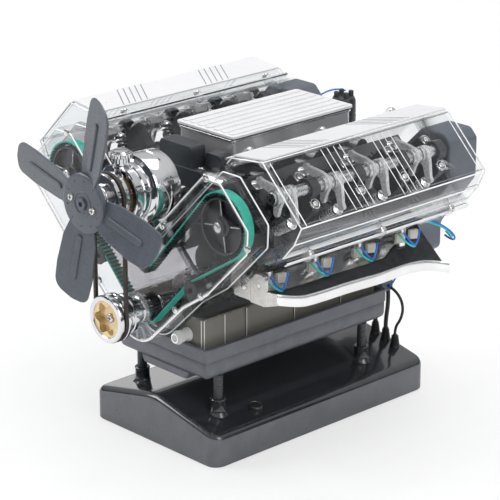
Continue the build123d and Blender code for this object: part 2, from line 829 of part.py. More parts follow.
def lobe_y(index, side, way):
    """A cam lobe works the rocker of its own valve."""
    return bore_y(index, side) + way * VALVE_SIDE_STEP


def lobe_outline(turn):
    """An egg-shaped lobe: a round base and a nose, its point turned from upright."""
    points = []
    for step in range(CAM_BASE_STEPS + 1):
        angle = turn + math.pi / 2 + math.pi * step / CAM_BASE_STEPS
        points.append((CAM_BASE_RADIUS * math.sin(angle), CAM_REACH + CAM_BASE_RADIUS * math.cos(angle)))
    nose_reach = CAM_BASE_RADIUS + CAM_LIFT - CAM_NOSE_RADIUS
    for lean in (-1, 0, 1):
        angle = turn + lean * math.pi / 3
        x = nose_reach * math.sin(turn) + CAM_NOSE_RADIUS * math.sin(angle)
        z = CAM_REACH + nose_reach * math.cos(turn) + CAM_NOSE_RADIUS * math.cos(angle)
        points.append((x, z))
    return points


def camshaft(side):
    """One cam shaft with two lobes for each cylinder, spread round in firing order."""
    shaft = bar_y(CAM_SHAFT_RADIUS, WHEEL_PLANE_Y - WHEEL_WIDTH / 2 - SEAT_GAP, CAM_REAR_END, z=CAM_REACH)
    for index in range(CYLINDERS_PER_BANK):
        for way in (-1, 1):
            turn = math.radians(index * 360 / CYLINDERS_PER_BANK + way * CAM_PHASE)
            middle = lobe_y(index, side, way)
            shaft += prism_y(lobe_outline(turn), middle - CAM_WIDTH / 2, middle + CAM_WIDTH / 2)
    return on_bank(shaft, side)


def rocker_brackets(side):
    """Saddles between the cylinders that carry the cam shaft and the rocker shaft."""
    pieces = []
    foot = VALVE_DECK + VALVE_DECK_THICKNESS + SEAT_GAP
    ring = ROCKER_SHAFT_RADIUS + BRACKET_RING
    for index in range(1, CYLINDERS_PER_BANK + 1):
        y = main_y(index) if index < CYLINDERS_PER_BANK else COVER_REAR - BRACKET_THICKNESS
        front = y - BRACKET_THICKNESS / 2
        rear = y + BRACKET_THICKNESS / 2
        saddle = box(-BRACKET_HALF_WIDTH, BRACKET_HALF_WIDTH, front, rear, foot, BRACKET_SHOULDER)
        saddle += faceted_bar(ring, (0, front, ROCKER_SHAFT_REACH), (0, rear, ROCKER_SHAFT_REACH), DISC_SIDES)
        saddle -= bar_y(CAM_SHAFT_RADIUS + RUNNING_FIT, front - OVERRUN, rear + OVERRUN, z=CAM_REACH)
        axis = ROCKER_SHAFT_REACH
        hole = snug(ROCKER_SHAFT_RADIUS, DISC_SIDES)
        saddle -= faceted_bar(hole, (0, front - OVERRUN, axis), (0, rear + OVERRUN, axis), DISC_SIDES)
        for way in (-1, 1):
            side_x = way * (BRACKET_HALF_WIDTH - BRACKET_SCREW_INSET)
            screw = hexagon_bar(SCREW_RADIUS, SCREW_HEIGHT)
            saddle += Pos(side_x, y, BRACKET_SHOULDER) * screw
        pieces.append(on_bank(saddle, side))
    return pieces


def rocker_shafts():
    pieces = []
    for side in SIDES.values():
        front = main_y(0) + BRACKET_THICKNESS
        rear = COVER_REAR - BRACKET_THICKNESS / 2
        tube = bar_y(ROCKER_SHAFT_RADIUS, front, rear, z=ROCKER_SHAFT_REACH)
        pieces.append(on_bank(tube, side))
    return pieces


def rocker_arm(index, side, way):
    """A rocker from the shaft to one valve tip, with a pad on the other side by its cam."""
    y = lobe_y(index, side, way)
    front = y - ROCKER_ARM_WIDTH / 2
    rear = y + ROCKER_ARM_WIDTH / 2
    seat, along = valve_line(index, side, way)
    tip = seat + along * (VALVE_TIP_REACH + ROCKER_TIP_HALF + ROCKER_LASH)
    half = ROCKER_TIP_HALF
    boss = ROCKER_BOSS_RADIUS
    axis = ROCKER_SHAFT_REACH
    pad_z = axis - ROCKER_PAD_DROP
    outline = [
        (way * boss / 2, axis + boss),
        (tip.X, tip.Z + half),
        (tip.X + way * half, tip.Z),
        (tip.X + way * half / 2, tip.Z - half),
        (tip.X - way * half, tip.Z - half),
        (way * boss / 2, axis - boss),
        (-way * (ROCKER_PAD_SIDE - half), pad_z),
        (-way * (ROCKER_PAD_SIDE + half), pad_z),
        (-way * (boss + half / 2), axis - boss / 2),
        (-way * boss, axis + boss / 2),
        (-way * boss / 2, axis + boss),
    ]
    arm = prism_y(outline, front, rear)
    hole = snug(ROCKER_SHAFT_RADIUS, DISC_SIDES)
    arm -= faceted_bar(hole, (0, front - OVERRUN, axis), (0, rear + OVERRUN, axis), DISC_SIDES)
    return on_bank(arm, side)


def rocker_arms(side):
    pieces = []
    for index in range(CYLINDERS_PER_BANK):
        for way in (-1, 1):
            pieces.append(rocker_arm(index, side, way))
    return pieces


def cover_outline(inset):
    """The rocker cover's section, from its base up over the bevel and the broad face."""
    bevel_foot = COVER_BASE + COVER_INNER_RISE
    return [
        (-COVER_INNER_HALF + inset, COVER_BASE),
        (-COVER_INNER_HALF + inset, bevel_foot - inset / 2),
        (-COVER_INNER_HALF + COVER_BEVEL_WIDTH + inset / 2, COVER_TOP - inset),
        (COVER_FACE_OUTER - inset, COVER_TOP - inset),
        (COVER_SIDE_BREAK - inset, COVER_TOP - COVER_SIDE_BREAK_DROP),
        (COVER_BASE_OUTER - inset, COVER_BASE),
    ]


def cover_screw_places():
    """Across and along places of the cover's screws."""
    places = []
    for share in COVER_SCREW_Y_SHARES:
        y = COVER_FRONT + share * (COVER_REAR - COVER_FRONT)
        places.append((-COVER_INNER_HALF - SCREW_RADIUS - SLIDING_FIT, y))
        places.append((COVER_BASE_OUTER + SCREW_RADIUS + SLIDING_FIT, y))
    return places


def rocker_cover(side):
    """The clear cover, open below, on a flange with screw bosses."""
    shell = prism_y(cover_outline(0), COVER_FRONT, COVER_REAR)
    flange = box(-FLANGE_INNER, FLANGE_OUTER, COVER_FRONT, COVER_REAR, COVER_BASE, COVER_BASE + COVER_FLANGE)
    shell += flange
    for x, y in cover_screw_places():
        shell += bar_z(BOSS_RADIUS, COVER_BASE, COVER_BASE + 2 * COVER_FLANGE, x, y)
    inside = prism_y(cover_outline(CLEAR_WALL), COVER_FRONT + CLEAR_WALL, COVER_REAR - CLEAR_WALL)
    mouth = box(
        -COVER_INNER_HALF + CLEAR_WALL,
        COVER_BASE_OUTER - CLEAR_WALL,
        COVER_FRONT + CLEAR_WALL,
        COVER_REAR - CLEAR_WALL,
        COVER_BASE - OVERRUN,
        COVER_BASE + SEAT_GAP,
    )
    return on_bank(shell - inside - mouth, side)


def cover_strips():
    """The bright ribbed strip on each cover's bevel."""
    pieces = []
    for side in SIDES.values():
        foot = Vector(-COVER_INNER_HALF, 0, COVER_BASE + COVER_INNER_RISE)
        head = Vector(-COVER_INNER_HALF + COVER_BEVEL_WIDTH, 0, COVER_TOP)
        slope = (head - foot).normalized()
        out = Vector(-slope.Z, 0, slope.X)
        low = foot + out * SEAT_GAP + slope * STRIP_RIB
        high = head + out * SEAT_GAP - slope * STRIP_RIB
        corners = [low, high, high + out * STRIP_THICKNESS, low + out * STRIP_THICKNESS]
        strip = prism_y([(p.X, p.Z) for p in corners], COVER_FRONT + CLEAR_WALL, COVER_REAR - CLEAR_WALL)
        pieces.append(on_bank(strip, side))
    return pieces


# Timing end: back plate, wheels, belt and clear cover


def limb_outline(inset):
    """One limb of the timing cover, from the crank out to its eight-sided end."""
    end = LIMB_END - inset
    broad = LIMB_HALF_WIDTH - inset
    inner = LIMB_INNER - inset
    waist = LIMB_WAIST - inset
    tip = LIMB_END_HALF - inset / 2
    return [
        (0, 0),
        (FOOT_RADIUS - inset, 0),
        (waist, LIMB_WAIST_REACH),
        (broad, LIMB_SHOULDER_REACH),
        (broad, LIMB_END - LIMB_CHAMFER_DROP),
        (tip, end),
        (-tip, end),
        (-inner, LIMB_END - LIMB_CHAMFER_DROP),
        (-inner, inner),
    ]


def timing_solid(inset, y_from, y_to):
    """The V of two limbs and a round foot about the crank."""
    limb = prism_y(limb_outline(inset), y_from, y_to)
    solid = bar_y(FOOT_RADIUS - inset, y_from, y_to, z=CRANK_HEIGHT)
    for side in SIDES.values():
        solid += on_bank(limb, side)
    return solid


def timing_back_plate():
    rear = BLOCK_FRONT - SEAT_GAP
    plate = timing_solid(0, TIMING_BACK_Y + SEAT_GAP, rear)
    plate -= bar_y(JOURNAL_RADIUS + ROOM, TIMING_BACK_Y - OVERRUN, BLOCK_FRONT + OVERRUN, z=CRANK_HEIGHT)
    for side in SIDES.values():
        hole = bar_y(CAM_SHAFT_RADIUS + ROOM, TIMING_BACK_Y - OVERRUN, BLOCK_FRONT + OVERRUN, z=CAM_REACH)
        plate -= on_bank(hole, side)
    centres = [side_idler_centre(side) for side in SIDES.values()] + [(0, CENTRE_IDLER_RISE)]
    for x, z in centres:
        front = TIMING_FRONT_Y + TIMING_FACE + SEAT_GAP
        plate += bar_y(IDLER_PIN_RADIUS, front, rear, x, CRANK_HEIGHT + z)
    return plate


def timing_cover():
    cover = timing_solid(0, TIMING_FRONT_Y, TIMING_BACK_Y)
    cover -= timing_solid(TIMING_WALL, TIMING_FRONT_Y + TIMING_FACE, TIMING_BACK_Y + OVERRUN)
    cover -= bar_y(PULLEY_HUB_RADIUS + ROOM, TIMING_FRONT_Y - OVERRUN, TIMING_BACK_Y, z=CRANK_HEIGHT)
    return cover


def toothed_outline(radius, teeth):
    """Points round a wheel whose teeth stand between its pitch circle and its root."""
    points = []
    for tooth in range(teeth):
        for share, reach in TOOTH_SHARES:
            angle = 2 * math.pi * (tooth + share) / teeth
            at = radius + reach * TOOTH_DEPTH
            points.append((at * math.sin(angle), at * math.cos(angle)))
    return points


def toothed_wheel(radius, teeth, bore):
    """A belt wheel about Y = 0, hollowed to a rim, a web and a hub."""
    half = WHEEL_WIDTH / 2
    wheel = prism_y(toothed_outline(radius, teeth), -half, half)
    return wheel - bar_y(bore, -half - OVERRUN, half + OVERRUN)


def cam_wheel():
    """A light wheel: rim, four thin spokes and a hub, about the origin."""
    half = WHEEL_WIDTH / 2
    teeth = 2 * SPROCKET_TEETH
    wheel = toothed_wheel(CAM_WHEEL_PITCH_RADIUS, teeth, CAM_SHAFT_RADIUS + SEAT_GAP)
    inner = CAM_WHEEL_PITCH_RADIUS - TOOTH_DEPTH - WHEEL_RIM
    window = bar_y(inner, -half - OVERRUN, half + OVERRUN)
    window -= bar_y(WHEEL_HUB_RADIUS, -half - OVERRUN, half + OVERRUN)
    for turn in range(2):
        spoke = box(-WHEEL_SPOKE / 2, WHEEL_SPOKE / 2, -half - OVERRUN, half + OVERRUN, -inner, inner)
        window -= Rot(0, turn * 90, 0) * spoke
    wheel -= window
    web = bar_y(inner + SEAT_GAP, half - WHEEL_WEB, half)
    web -= bar_y(CAM_SHAFT_RADIUS + SEAT_GAP, -half, half + OVERRUN)
    return wheel + web


def cam_wheels(side):
    place = Pos(0, WHEEL_PLANE_Y, CAM_REACH)
    return on_bank(place * cam_wheel(), side)


def crank_sprocket():
    wheel = toothed_wheel(SPROCKET_PITCH_RADIUS, SPROCKET_TEETH, CRANK_NOSE_RADIUS + RUNNING_FIT)
    return Pos(0, WHEEL_PLANE_Y, CRANK_HEIGHT) * wheel


def side_idler_centre(side):
    x, z = bank_point(SIDE_IDLER_OFFSET, SIDE_IDLER_REACH)
    return side * x, z


def idler(x, z, radius):
    """A smooth back-side roller with a lip, on its pin."""
    front = WHEEL_PLANE_Y - WHEEL_WIDTH / 2
    rear = WHEEL_PLANE_Y + WHEEL_WIDTH / 2
    height = CRANK_HEIGHT + z
    roller = bar_y(radius, front, rear, x, height)
    roller += bar_y(radius + IDLER_LIP, front - IDLER_LIP, front, x, height)
    return roller - bar_y(IDLER_PIN_RADIUS + RUNNING_FIT, front - OVERRUN, rear + OVERRUN, x, height)


def belt_run(wheels):
    """Straight and round stretches of a belt about wheels given as (x, z, signed radius)."""
    leave = []
    arrive = []
    for (x1, z1, r1), (x2, z2, r2) in zip(wheels, wheels[1:] + wheels[:1]):
        distance = math.hypot(x2 - x1, z2 - z1)
        heading = math.atan2(z2 - z1, x2 - x1) - math.asin((r2 - r1) / distance)
        normal_x = -math.sin(heading)
        normal_z = math.cos(heading)
        leave.append((x1 - r1 * normal_x, z1 - r1 * normal_z))
        arrive.append((x2 - r2 * normal_x, z2 - r2 * normal_z))
    stretches = []
    for (x, z, radius), came, left, onward in zip(wheels, arrive[-1:] + arrive[:-1], leave, arrive):
        start = math.atan2(came[1] - z, came[0] - x)
        end = math.atan2(left[1] - z, left[0] - x)
        turn = (end - start) % (2 * math.pi)
        if radius < 0:
            turn -= 2 * math.pi
        stretches.append(("round", (x, z, abs(radius)), start, turn))
        stretches.append(("straight", left, onward, 0))
    return stretches


def belt_face(wheels, y):
    """The area inside one surface of a belt."""
    edges = []
    for kind, first, second, turn in belt_run(wheels):
        if kind == "round":
            x, z, radius = first
            points = []
            for angle in (second, second + turn / 2, second + turn):
                points.append((x + radius * math.cos(angle), y, z + radius * math.sin(angle)))
            edges.append(ThreePointArc(*points))
        else:
            edges.append(Line((first[0], y, first[1]), (second[0], y, second[1])))
    return make_face(Wire(edges))


def belt_band(wheels, thickness, y_from, y_to):
    """A plain belt: the area inside its back less the area inside its face."""
    inside = []
    outside = []
    for x, z, radius in wheels:
        near = abs(radius)
        inside.append((x, z, near if radius > 0 else -(near + thickness)))
        outside.append((x, z, near + thickness if radius > 0 else -near))
    width = y_to - y_from
    outer = extrude(belt_face(outside, y_from), amount=width, dir=(0, 1, 0))
    inner = extrude(belt_face(inside, y_from), amount=width, dir=(0, 1, 0))
    return outer - inner


def timing_wheels():
    """Where the timing belt bends, against the clock seen from the front."""
    wheel_x, wheel_z = bank_point(0, CAM_REACH)
    idler_x, idler_z = side_idler_centre(1)
    grip = SEAT_GAP
    return [
        (0, CRANK_HEIGHT, SPROCKET_PITCH_RADIUS + grip),
        (idler_x, CRANK_HEIGHT + idler_z, -SIDE_IDLER_RADIUS - grip),
        (wheel_x, CRANK_HEIGHT + wheel_z, CAM_WHEEL_PITCH_RADIUS + grip),
        (0, CRANK_HEIGHT + CENTRE_IDLER_RISE, -CENTRE_IDLER_RADIUS - grip),
        (-wheel_x, CRANK_HEIGHT + wheel_z, CAM_WHEEL_PITCH_RADIUS + grip),
        (-idler_x, CRANK_HEIGHT + idler_z, -SIDE_IDLER_RADIUS - grip),
    ]


def timing_belt():
    front = WHEEL_PLANE_Y - BELT_WIDTH / 2
    return belt_band(timing_wheels(), BELT_THICKNESS, front, front + BELT_WIDTH)


def fan_belt():
    radius = PULLEY_GROOVE_RADIUS + RUNNING_FIT
    wheels = [(0, CRANK_HEIGHT, radius), (0, FAN_HEIGHT, radius)]
    front = PULLEY_PLANE_Y - FAN_BELT_WIDTH / 2
    return belt_band(wheels, FAN_BELT_THICKNESS, front, front + FAN_BELT_WIDTH)


# Pulleys and fan


def grooved_pulley(radius, z):
    """A pulley with one belt groove."""
    half = PULLEY_WIDTH / 2
    pulley = bar_y(radius, PULLEY_PLANE_Y - half, PULLEY_PLANE_Y + half, z=z)
    groove_half = FAN_BELT_WIDTH / 2 + GROOVE_PLAY
    groove = bar_y(radius + OVERRUN, PULLEY_PLANE_Y - groove_half, PULLEY_PLANE_Y + groove_half, z=z)
    groove -= bar_y(PULLEY_GROOVE_RADIUS, PULLEY_PLANE_Y - groove_half, PULLEY_PLANE_Y + groove_half, z=z)
    return pulley - groove


def crank_pulley():
    """The crank pulley: a ring with a six-lobed well in its face and a long hub."""
    front = PULLEY_PLANE_Y - PULLEY_WIDTH / 2
    pulley = grooved_pulley(CRANK_PULLEY_RADIUS, CRANK_HEIGHT)
    hub_end = WHEEL_PLANE_Y - WHEEL_WIDTH / 2 - SEAT_GAP
    pulley += bar_y(PULLEY_HUB_RADIUS, PULLEY_PLANE_Y, hub_end, z=CRANK_HEIGHT)
    drum_end = PULLEY_PLANE_Y + PULLEY_WIDTH / 2 + PULLEY_DRUM_LENGTH
    pulley += bar_y(PULLEY_DRUM_RADIUS, PULLEY_PLANE_Y, drum_end, z=CRANK_HEIGHT)
    well = bar_y(LOBE_CIRCLE, front - OVERRUN, front + PULLEY_RECESS, z=CRANK_HEIGHT)
    for lobe in range(PULLEY_LOBES):
        angle = 2 * math.pi * lobe / PULLEY_LOBES
        x = LOBE_CIRCLE * math.sin(angle)
        z = CRANK_HEIGHT + LOBE_CIRCLE * math.cos(angle)
        well += bar_y(LOBE_RADIUS, front - OVERRUN, front + PULLEY_RECESS, x, z)
    pulley -= well
    z = CRANK_HEIGHT
    pulley -= bar_y(CRANK_NOSE_RADIUS + SEAT_GAP, CRANK_NOSE_END - SEAT_GAP, hub_end + OVERRUN, z=z)
    pulley -= bar_y(CRANK_SCREW_RADIUS + SEAT_GAP, pulley_well_floor() - OVERRUN, CRANK_NOSE_END, z=z)
    return pulley


def fan_pulley():
    pulley = grooved_pulley(FAN_PULLEY_RADIUS, FAN_HEIGHT)
    front = PULLEY_PLANE_Y - PULLEY_WIDTH
    return pulley - bar_y(FAN_SHAFT_RADIUS + SEAT_GAP, front, front + 2 * PULLEY_WIDTH, z=FAN_HEIGHT)


def fan_nose():
    """The stepped spacer between the fan and its pulley."""
    start = FAN_FACE_Y + FAN_HUB_THICKNESS + SEAT_GAP
    end = PULLEY_PLANE_Y - PULLEY_WIDTH / 2 - SEAT_GAP
    middle = (start + end) / 2
    nose = bar_y(NOSE_STEP_RADIUS, start, middle, z=FAN_HEIGHT)
    nose += bar_y(NOSE_RADIUS, middle, end, z=FAN_HEIGHT)
    return nose - bar_y(FAN_SHAFT_RADIUS + SEAT_GAP, start - OVERRUN, end + OVERRUN, z=FAN_HEIGHT)


def fan_shaft():
    start = FAN_FACE_Y + FAN_HUB_THICKNESS + SEAT_GAP
    return bar_y(FAN_SHAFT_RADIUS, start, PUMP_REAR_Y - HOUSING_WALL, z=FAN_HEIGHT)


def fan_blade():
    """One pitched blade about the origin, its length along +Z, its leading corner the rounder."""
    root = BLADE_ROOT
    bend = BLADE_ROOT + BLADE_ROOT_HALF
    lead = [(x * BLADE_HALF, 0, FAN_RADIUS - drop * BLADE_HALF) for x, drop in BLADE_LEAD_SHARES]
    trail = [(x * BLADE_HALF, 0, FAN_RADIUS - drop * BLADE_HALF) for x, drop in BLADE_TRAIL_SHARES]
    edges = [
        Line((BLADE_ROOT_HALF, 0, root), (BLADE_HALF, 0, bend)),
        Line((BLADE_HALF, 0, bend), lead[0]),
        ThreePointArc(*lead),
        ThreePointArc(lead[-1], *trail),
        Line(trail[-1], (-BLADE_HALF, 0, bend)),
        Line((-BLADE_HALF, 0, bend), (-BLADE_ROOT_HALF, 0, root)),
        Line((-BLADE_ROOT_HALF, 0, root), (BLADE_ROOT_HALF, 0, root)),
    ]
    plate = extrude(make_face(Wire(edges)), amount=BLADE_THICKNESS, dir=(0, 1, 0))
    rib_half = BLADE_RIB_WIDTH / 2
    rib_top = BLADE_RIB_START + BLADE_RIB_LENGTH
    rib = box(-rib_half, rib_half, -BLADE_RIB_HEIGHT, 0, BLADE_RIB_START, rib_top)
    for end in (BLADE_RIB_START, rib_top):
        rib += bar_y(rib_half, -BLADE_RIB_HEIGHT, 0, z=end)
    return Rot(0, 0, BLADE_PITCH) * (plate + rib)


def fan():
    """The four-blade fan about its own hub disc."""
    disc = bar_y(FAN_HUB_RADIUS, 0, FAN_HUB_THICKNESS)
    blade = Pos(0, FAN_HUB_THICKNESS / 2, 0) * fan_blade()
    for turn in range(FAN_BLADES):
        disc += Rot(0, BLADE_FIRST_ANGLE + turn * 360 / FAN_BLADES, 0) * blade
    boss = Rot(90, 0, 0) * hexagon_bar(HUB_BOSS_RADIUS, HUB_BOSS_HEIGHT)
    disc += boss
    return Pos(0, FAN_FACE_Y, FAN_HEIGHT) * disc


def fan_screws():
    pieces = []
    for way in (-1, 1):
        angle = math.radians(HUB_SCREW_ANGLE)
        x = way * HUB_SCREW_CIRCLE * math.cos(angle)
        z = -way * HUB_SCREW_CIRCLE * math.sin(angle) + FAN_HEIGHT
        top = FAN_FACE_Y - SEAT_GAP
        pieces.append(bar_y(SCREW_RADIUS, top - SCREW_HEIGHT, top, x, z))
    return pieces


def pump_housing():
    """The bright stepped drum that carries the fan shaft over the block's valley."""
    z = FAN_HEIGHT
    drum = bar_y(PUMP_NECK_RADIUS, PUMP_FRONT_Y, PUMP_STEP_Y, z=z)
    drum += bar_y(PUMP_STEP_RADIUS, PUMP_STEP_Y, PUMP_DRUM_Y, z=z)
    drum += bar_y(PUMP_DRUM_RADIUS, PUMP_DRUM_Y, PUMP_REAR_Y, z=z)
    half = PUMP_FOOT_HALF_WIDTH
    foot_rear = PUMP_FOOT_REAR_Y
    foot_front = foot_rear - PUMP_FOOT_LENGTH
    foot_top = z - PUMP_DRUM_RADIUS / 2
    foot_bottom = CRANK_HEIGHT + VALLEY_RISE + SEAT_GAP
    drum += box(-half, half, foot_front, foot_rear, foot_bottom, foot_top)
    arm_front = PUMP_REAR_Y - PUMP_FOOT_LENGTH / 2
    drum += box(-half, half, arm_front, foot_rear, foot_top - PUMP_ARM_HEIGHT, foot_top)
    neck_y = (PUMP_FRONT_Y + PUMP_STEP_Y) / 2
    drum += bar_z(FILLER_NECK_RADIUS, z, FILLER_NECK_TOP, 0, neck_y)
    drum -= bar_y(PUMP_MOUTH_RADIUS, PUMP_FRONT_Y - OVERRUN, PUMP_FRONT_Y + PUMP_MOUTH_DEPTH, z=z)
    drum -= bar_y(FAN_SHAFT_RADIUS + RUNNING_FIT, PUMP_FRONT_Y - OVERRUN, PUMP_REAR_Y + OVERRUN, z=z)
    return drum


def filler_cap():
    neck_y = (PUMP_FRONT_Y + PUMP_STEP_Y) / 2
    base = FILLER_NECK_TOP + SEAT_GAP
    cap = bar_z(FILLER_CAP_RADIUS, base, base + FILLER_CAP_HEIGHT, 0, neck_y)
    for knurl in range(FILLER_CAP_KNURLS):
        angle = 2 * math.pi * knurl / FILLER_CAP_KNURLS
        x = FILLER_CAP_RADIUS * math.sin(angle)
        y = neck_y + FILLER_CAP_RADIUS * math.cos(angle)
        cap -= bar_z(FILLER_KNURL_RADIUS, base + FILLER_CAP_HEIGHT / 3, base + 2 * FILLER_CAP_HEIGHT, x, y)
    return cap


# Intake, distributor, lamps and exhaust


def intake_manifold():
    """The dark manifold: a body under the plenum and one runner to each cylinder."""
    base = MANIFOLD_BASE
    top = PLENUM_BASE - SEAT_GAP
    front = bore_y(0, 1) - RUNNER_RADIUS
    rear = bore_y(CYLINDERS_PER_BANK - 1, -1) + RUNNER_RADIUS
    body = box(-MANIFOLD_HALF_WIDTH, MANIFOLD_HALF_WIDTH, front, rear, base, top)
    for side in SIDES.values():
        stop = side * FLANGE_OUTER * 2
        for index in range(CYLINDERS_PER_BANK):
            y = bore_y(index, side)
            inward = (0, y, RUNNER_HEIGHT)
            body += bar(RUNNER_RADIUS, inward, (stop, y, RUNNER_HEIGHT))
        trim = box(-HEAD_HALF_WIDTH - SEAT_GAP, 3 * FLANGE_OUTER, BLOCK_FRONT, BLOCK_REAR, 0, 2 * HEAD_TOP)
        body -= on_bank(trim, side)
    for x_from, x_to, y_from, y_to, rise in INTAKE_BOXES:
        body += box(x_from, x_to, y_from, y_to, base, CRANK_HEIGHT + rise)
    return body


def plenum_box():
    return box(-PLENUM_HALF_WIDTH, PLENUM_HALF_WIDTH, PLENUM_FRONT, PLENUM_REAR, PLENUM_BASE, PLENUM_TOP) - box(
        -PLENUM_HALF_WIDTH + CLEAR_WALL,
        PLENUM_HALF_WIDTH - CLEAR_WALL,
        PLENUM_FRONT + CLEAR_WALL,
        PLENUM_REAR - CLEAR_WALL,
        PLENUM_BASE + CLEAR_WALL,
        PLENUM_TOP + OVERRUN,
    )


def plenum_lid():
    """The ribbed lid over the plenum."""
    half = PLENUM_HALF_WIDTH + PLENUM_LID_LIP
    base = PLENUM_TOP + SEAT_GAP
    top = base + PLENUM_LID_THICKNESS
    lid = box(-half, half, PLENUM_FRONT - PLENUM_LID_LIP, PLENUM_REAR + PLENUM_LID_LIP, base, top)
    lid = fillet(lid.edges().filter_by(Axis.Z), PLENUM_LID_LIP)
    step = 2 * PLENUM_HALF_WIDTH / PLENUM_RIBS
    for rib in range(PLENUM_RIBS):
        x = rib * step + step / 2 - PLENUM_HALF_WIDTH
        lid += box(x - step / 4, x + step / 4, PLENUM_FRONT, PLENUM_REAR, top, top + PLENUM_RIB_HEIGHT)
    return lid


def distributor():
    """The ignition distributor: a stem in the valley and a capped drum with lead towers."""
    y = DISTRIBUTOR_Y
    body = bar_z(DISTRIBUTOR_STEM_RADIUS, CRANK_HEIGHT + VALLEY_RISE + SEAT_GAP, DISTRIBUTOR_BASE, 0, y)
    body += bar_z(DISTRIBUTOR_RADIUS, DISTRIBUTOR_BASE, DISTRIBUTOR_TOP, 0, y)
    for tower in range(2 * CYLINDERS_PER_BANK):
        angle = math.pi * tower / CYLINDERS_PER_BANK
        reach = DISTRIBUTOR_RADIUS - TOWER_RADIUS
        x = reach * math.sin(angle)
        at = y + reach * math.cos(angle)
        body += Pos(x, at, DISTRIBUTOR_TOP) * hexagon_bar(TOWER_RADIUS, TOWER_HEIGHT)
    return body


def lamp_plugs(side):
    """The lamp plugs that flash in the chambers, each with its two leads."""
    pieces = []
    for index in range(CYLINDERS_PER_BANK):
        start, way = plug_line(index, side)
        end = start + way * PLUG_LENGTH
        plug = faceted_bar(PLUG_BODY_RADIUS, start, end, PIN_SIDES)
        plug += faceted_bar(PLUG_HEX_RADIUS, end - way * PLUG_HEX_LENGTH, end, STEM_SIDES)
        y = bore_y(index, side)
        root = end - way * PLUG_HEX_LENGTH / 2
        for lean in (-1, 1):
            top = (end.X, y + lean * LEAD_SPREAD, VALVE_DECK - LEAD_RADIUS)
            plug += faceted_bar(LEAD_RADIUS, root, top, LEAD_SIDES)
        pieces.append(on_bank(plug, side))
    return pieces


def lamp_blocks(side):
    """Pale holder blocks, two in each cove, hung from the valve deck."""
    pieces = []
    for index in range(CYLINDERS_PER_BANK):
        for lean in (-1, 1):
            y = bore_y(index, side) + lean * LAMP_BLOCK_STEP
            outer = HEAD_HALF_WIDTH - CLEAR_WALL - SEAT_GAP
            top = VALVE_DECK - SEAT_GAP
            block = box(
                outer - LAMP_BLOCK_DEPTH,
                outer,
                y - LAMP_BLOCK_WIDTH / 2,
                y + LAMP_BLOCK_WIDTH / 2,
                top - LAMP_BLOCK_HEIGHT,
                top,
            )
            pieces.append(on_bank(block, side))
    return pieces


def exhaust_section(y, lip_x, lip_rise):
    """The shield's section at one station: a sloping sheet and an upright lip."""
    root_x, root_rise = EXHAUST_ROOT
    points = [
        (root_x, root_rise),
        (lip_x - EXHAUST_WALL, lip_rise - EXHAUST_LIP + EXHAUST_WALL),
        (lip_x - EXHAUST_WALL, lip_rise),
        (lip_x, lip_rise),
        (lip_x, lip_rise - EXHAUST_LIP),
        (root_x, root_rise - EXHAUST_WALL),
    ]
    return make_face(Polyline(*[(x, y, z) for x, z in raised(points)], close=True))


def exhaust_tab(x_from, x_to, low, high, y_from, y_to):
    """A rounded lug that closes the shield's front end."""
    tab = box(x_from, x_to, y_from, y_to, CRANK_HEIGHT + low, CRANK_HEIGHT + high)
    return fillet(tab.edges().filter_by(Axis.Y), EXHAUST_TAB_CORNER)


def exhaust(side):
    """The bright shield below one head, on four port stubs, with two lugs in front."""
    shell = loft([exhaust_section(*station) for station in EXHAUST_STATIONS], ruled=True)
    for tab in EXHAUST_TABS:
        shell += exhaust_tab(*tab)
    for index in range(CYLINDERS_PER_BANK):
        y = bore_y(index, side)
        x, rise = bank_point(EXHAUST_PORT_SIDE, HEAD_BASE)
        foot = CRANK_HEIGHT + rise - EXHAUST_PORT_LENGTH
        shell += bar_z(EXHAUST_PORT_RADIUS, foot, foot + 2 * EXHAUST_PORT_LENGTH, x, y)
    gap = 2 * SEAT_GAP
    half = HEAD_HALF_WIDTH + gap
    head = box(-half, half, 2 * BLOCK_FRONT, 2 * BLOCK_REAR, HEAD_BASE - gap, HEAD_TOP)
    shell -= on_bank(head, 1)
    return shell if side > 0 else mirror(shell, Plane.YZ)


# Rear end


def cable_box_floor():
    return CRANK_HEIGHT - HOUSING_BOX_DROP


def housing_solid(inset, y_from, y_to, bell_to):
    """The broad V of the housing, the round bell about the crank and the cable box below."""
    half = [
        (HOUSING_FOOT[0] - inset, HOUSING_FOOT[1] + inset),
        (HOUSING_WAIST[0] - inset, HOUSING_WAIST[1]),
        (HOUSING_WAIST_TOP[0] - inset, HOUSING_WAIST_TOP[1]),
        (HOUSING_SHOULDER[0] - inset, HOUSING_SHOULDER[1]),
        (HOUSING_CROWN[0] - inset, HOUSING_CROWN[1] - inset / 2),
        (HOUSING_TOP_OUTER[0] - inset / 2, HOUSING_TOP_OUTER[1] - inset),
        (HOUSING_TOP_INNER[0] + inset / 2, HOUSING_TOP_INNER[1] - inset),
        (HOUSING_NECK[0] + inset / 2, HOUSING_NECK[1] - inset),
        (0, HOUSING_VALLEY - inset),
    ]
    solid = prism_y(raised(mirrored(half)), y_from, y_to)
    half = HOUSING_BOX_HALF - inset
    solid += box(-half, half, y_from, HOUSING_BOX_REAR_Y - inset, cable_box_floor() + inset, CRANK_HEIGHT)
    return solid + bar_y(BELL_RADIUS - inset, y_from, bell_to, z=CRANK_HEIGHT)


def rear_housing():
    """The dark V-shaped housing behind the block, with the bell over the motor."""
    front = BLOCK_REAR + SEAT_GAP
    shell = housing_solid(0, front, HOUSING_REAR_Y, BELL_REAR_Y)
    rear = HOUSING_REAR_Y - HOUSING_WALL
    shell -= housing_solid(HOUSING_WALL, front - OVERRUN, rear, BELL_REAR_Y - HOUSING_WALL)
    for points, radius in cord_lines():
        shell -= cord(points, radius + SLIDING_FIT)
    return shell


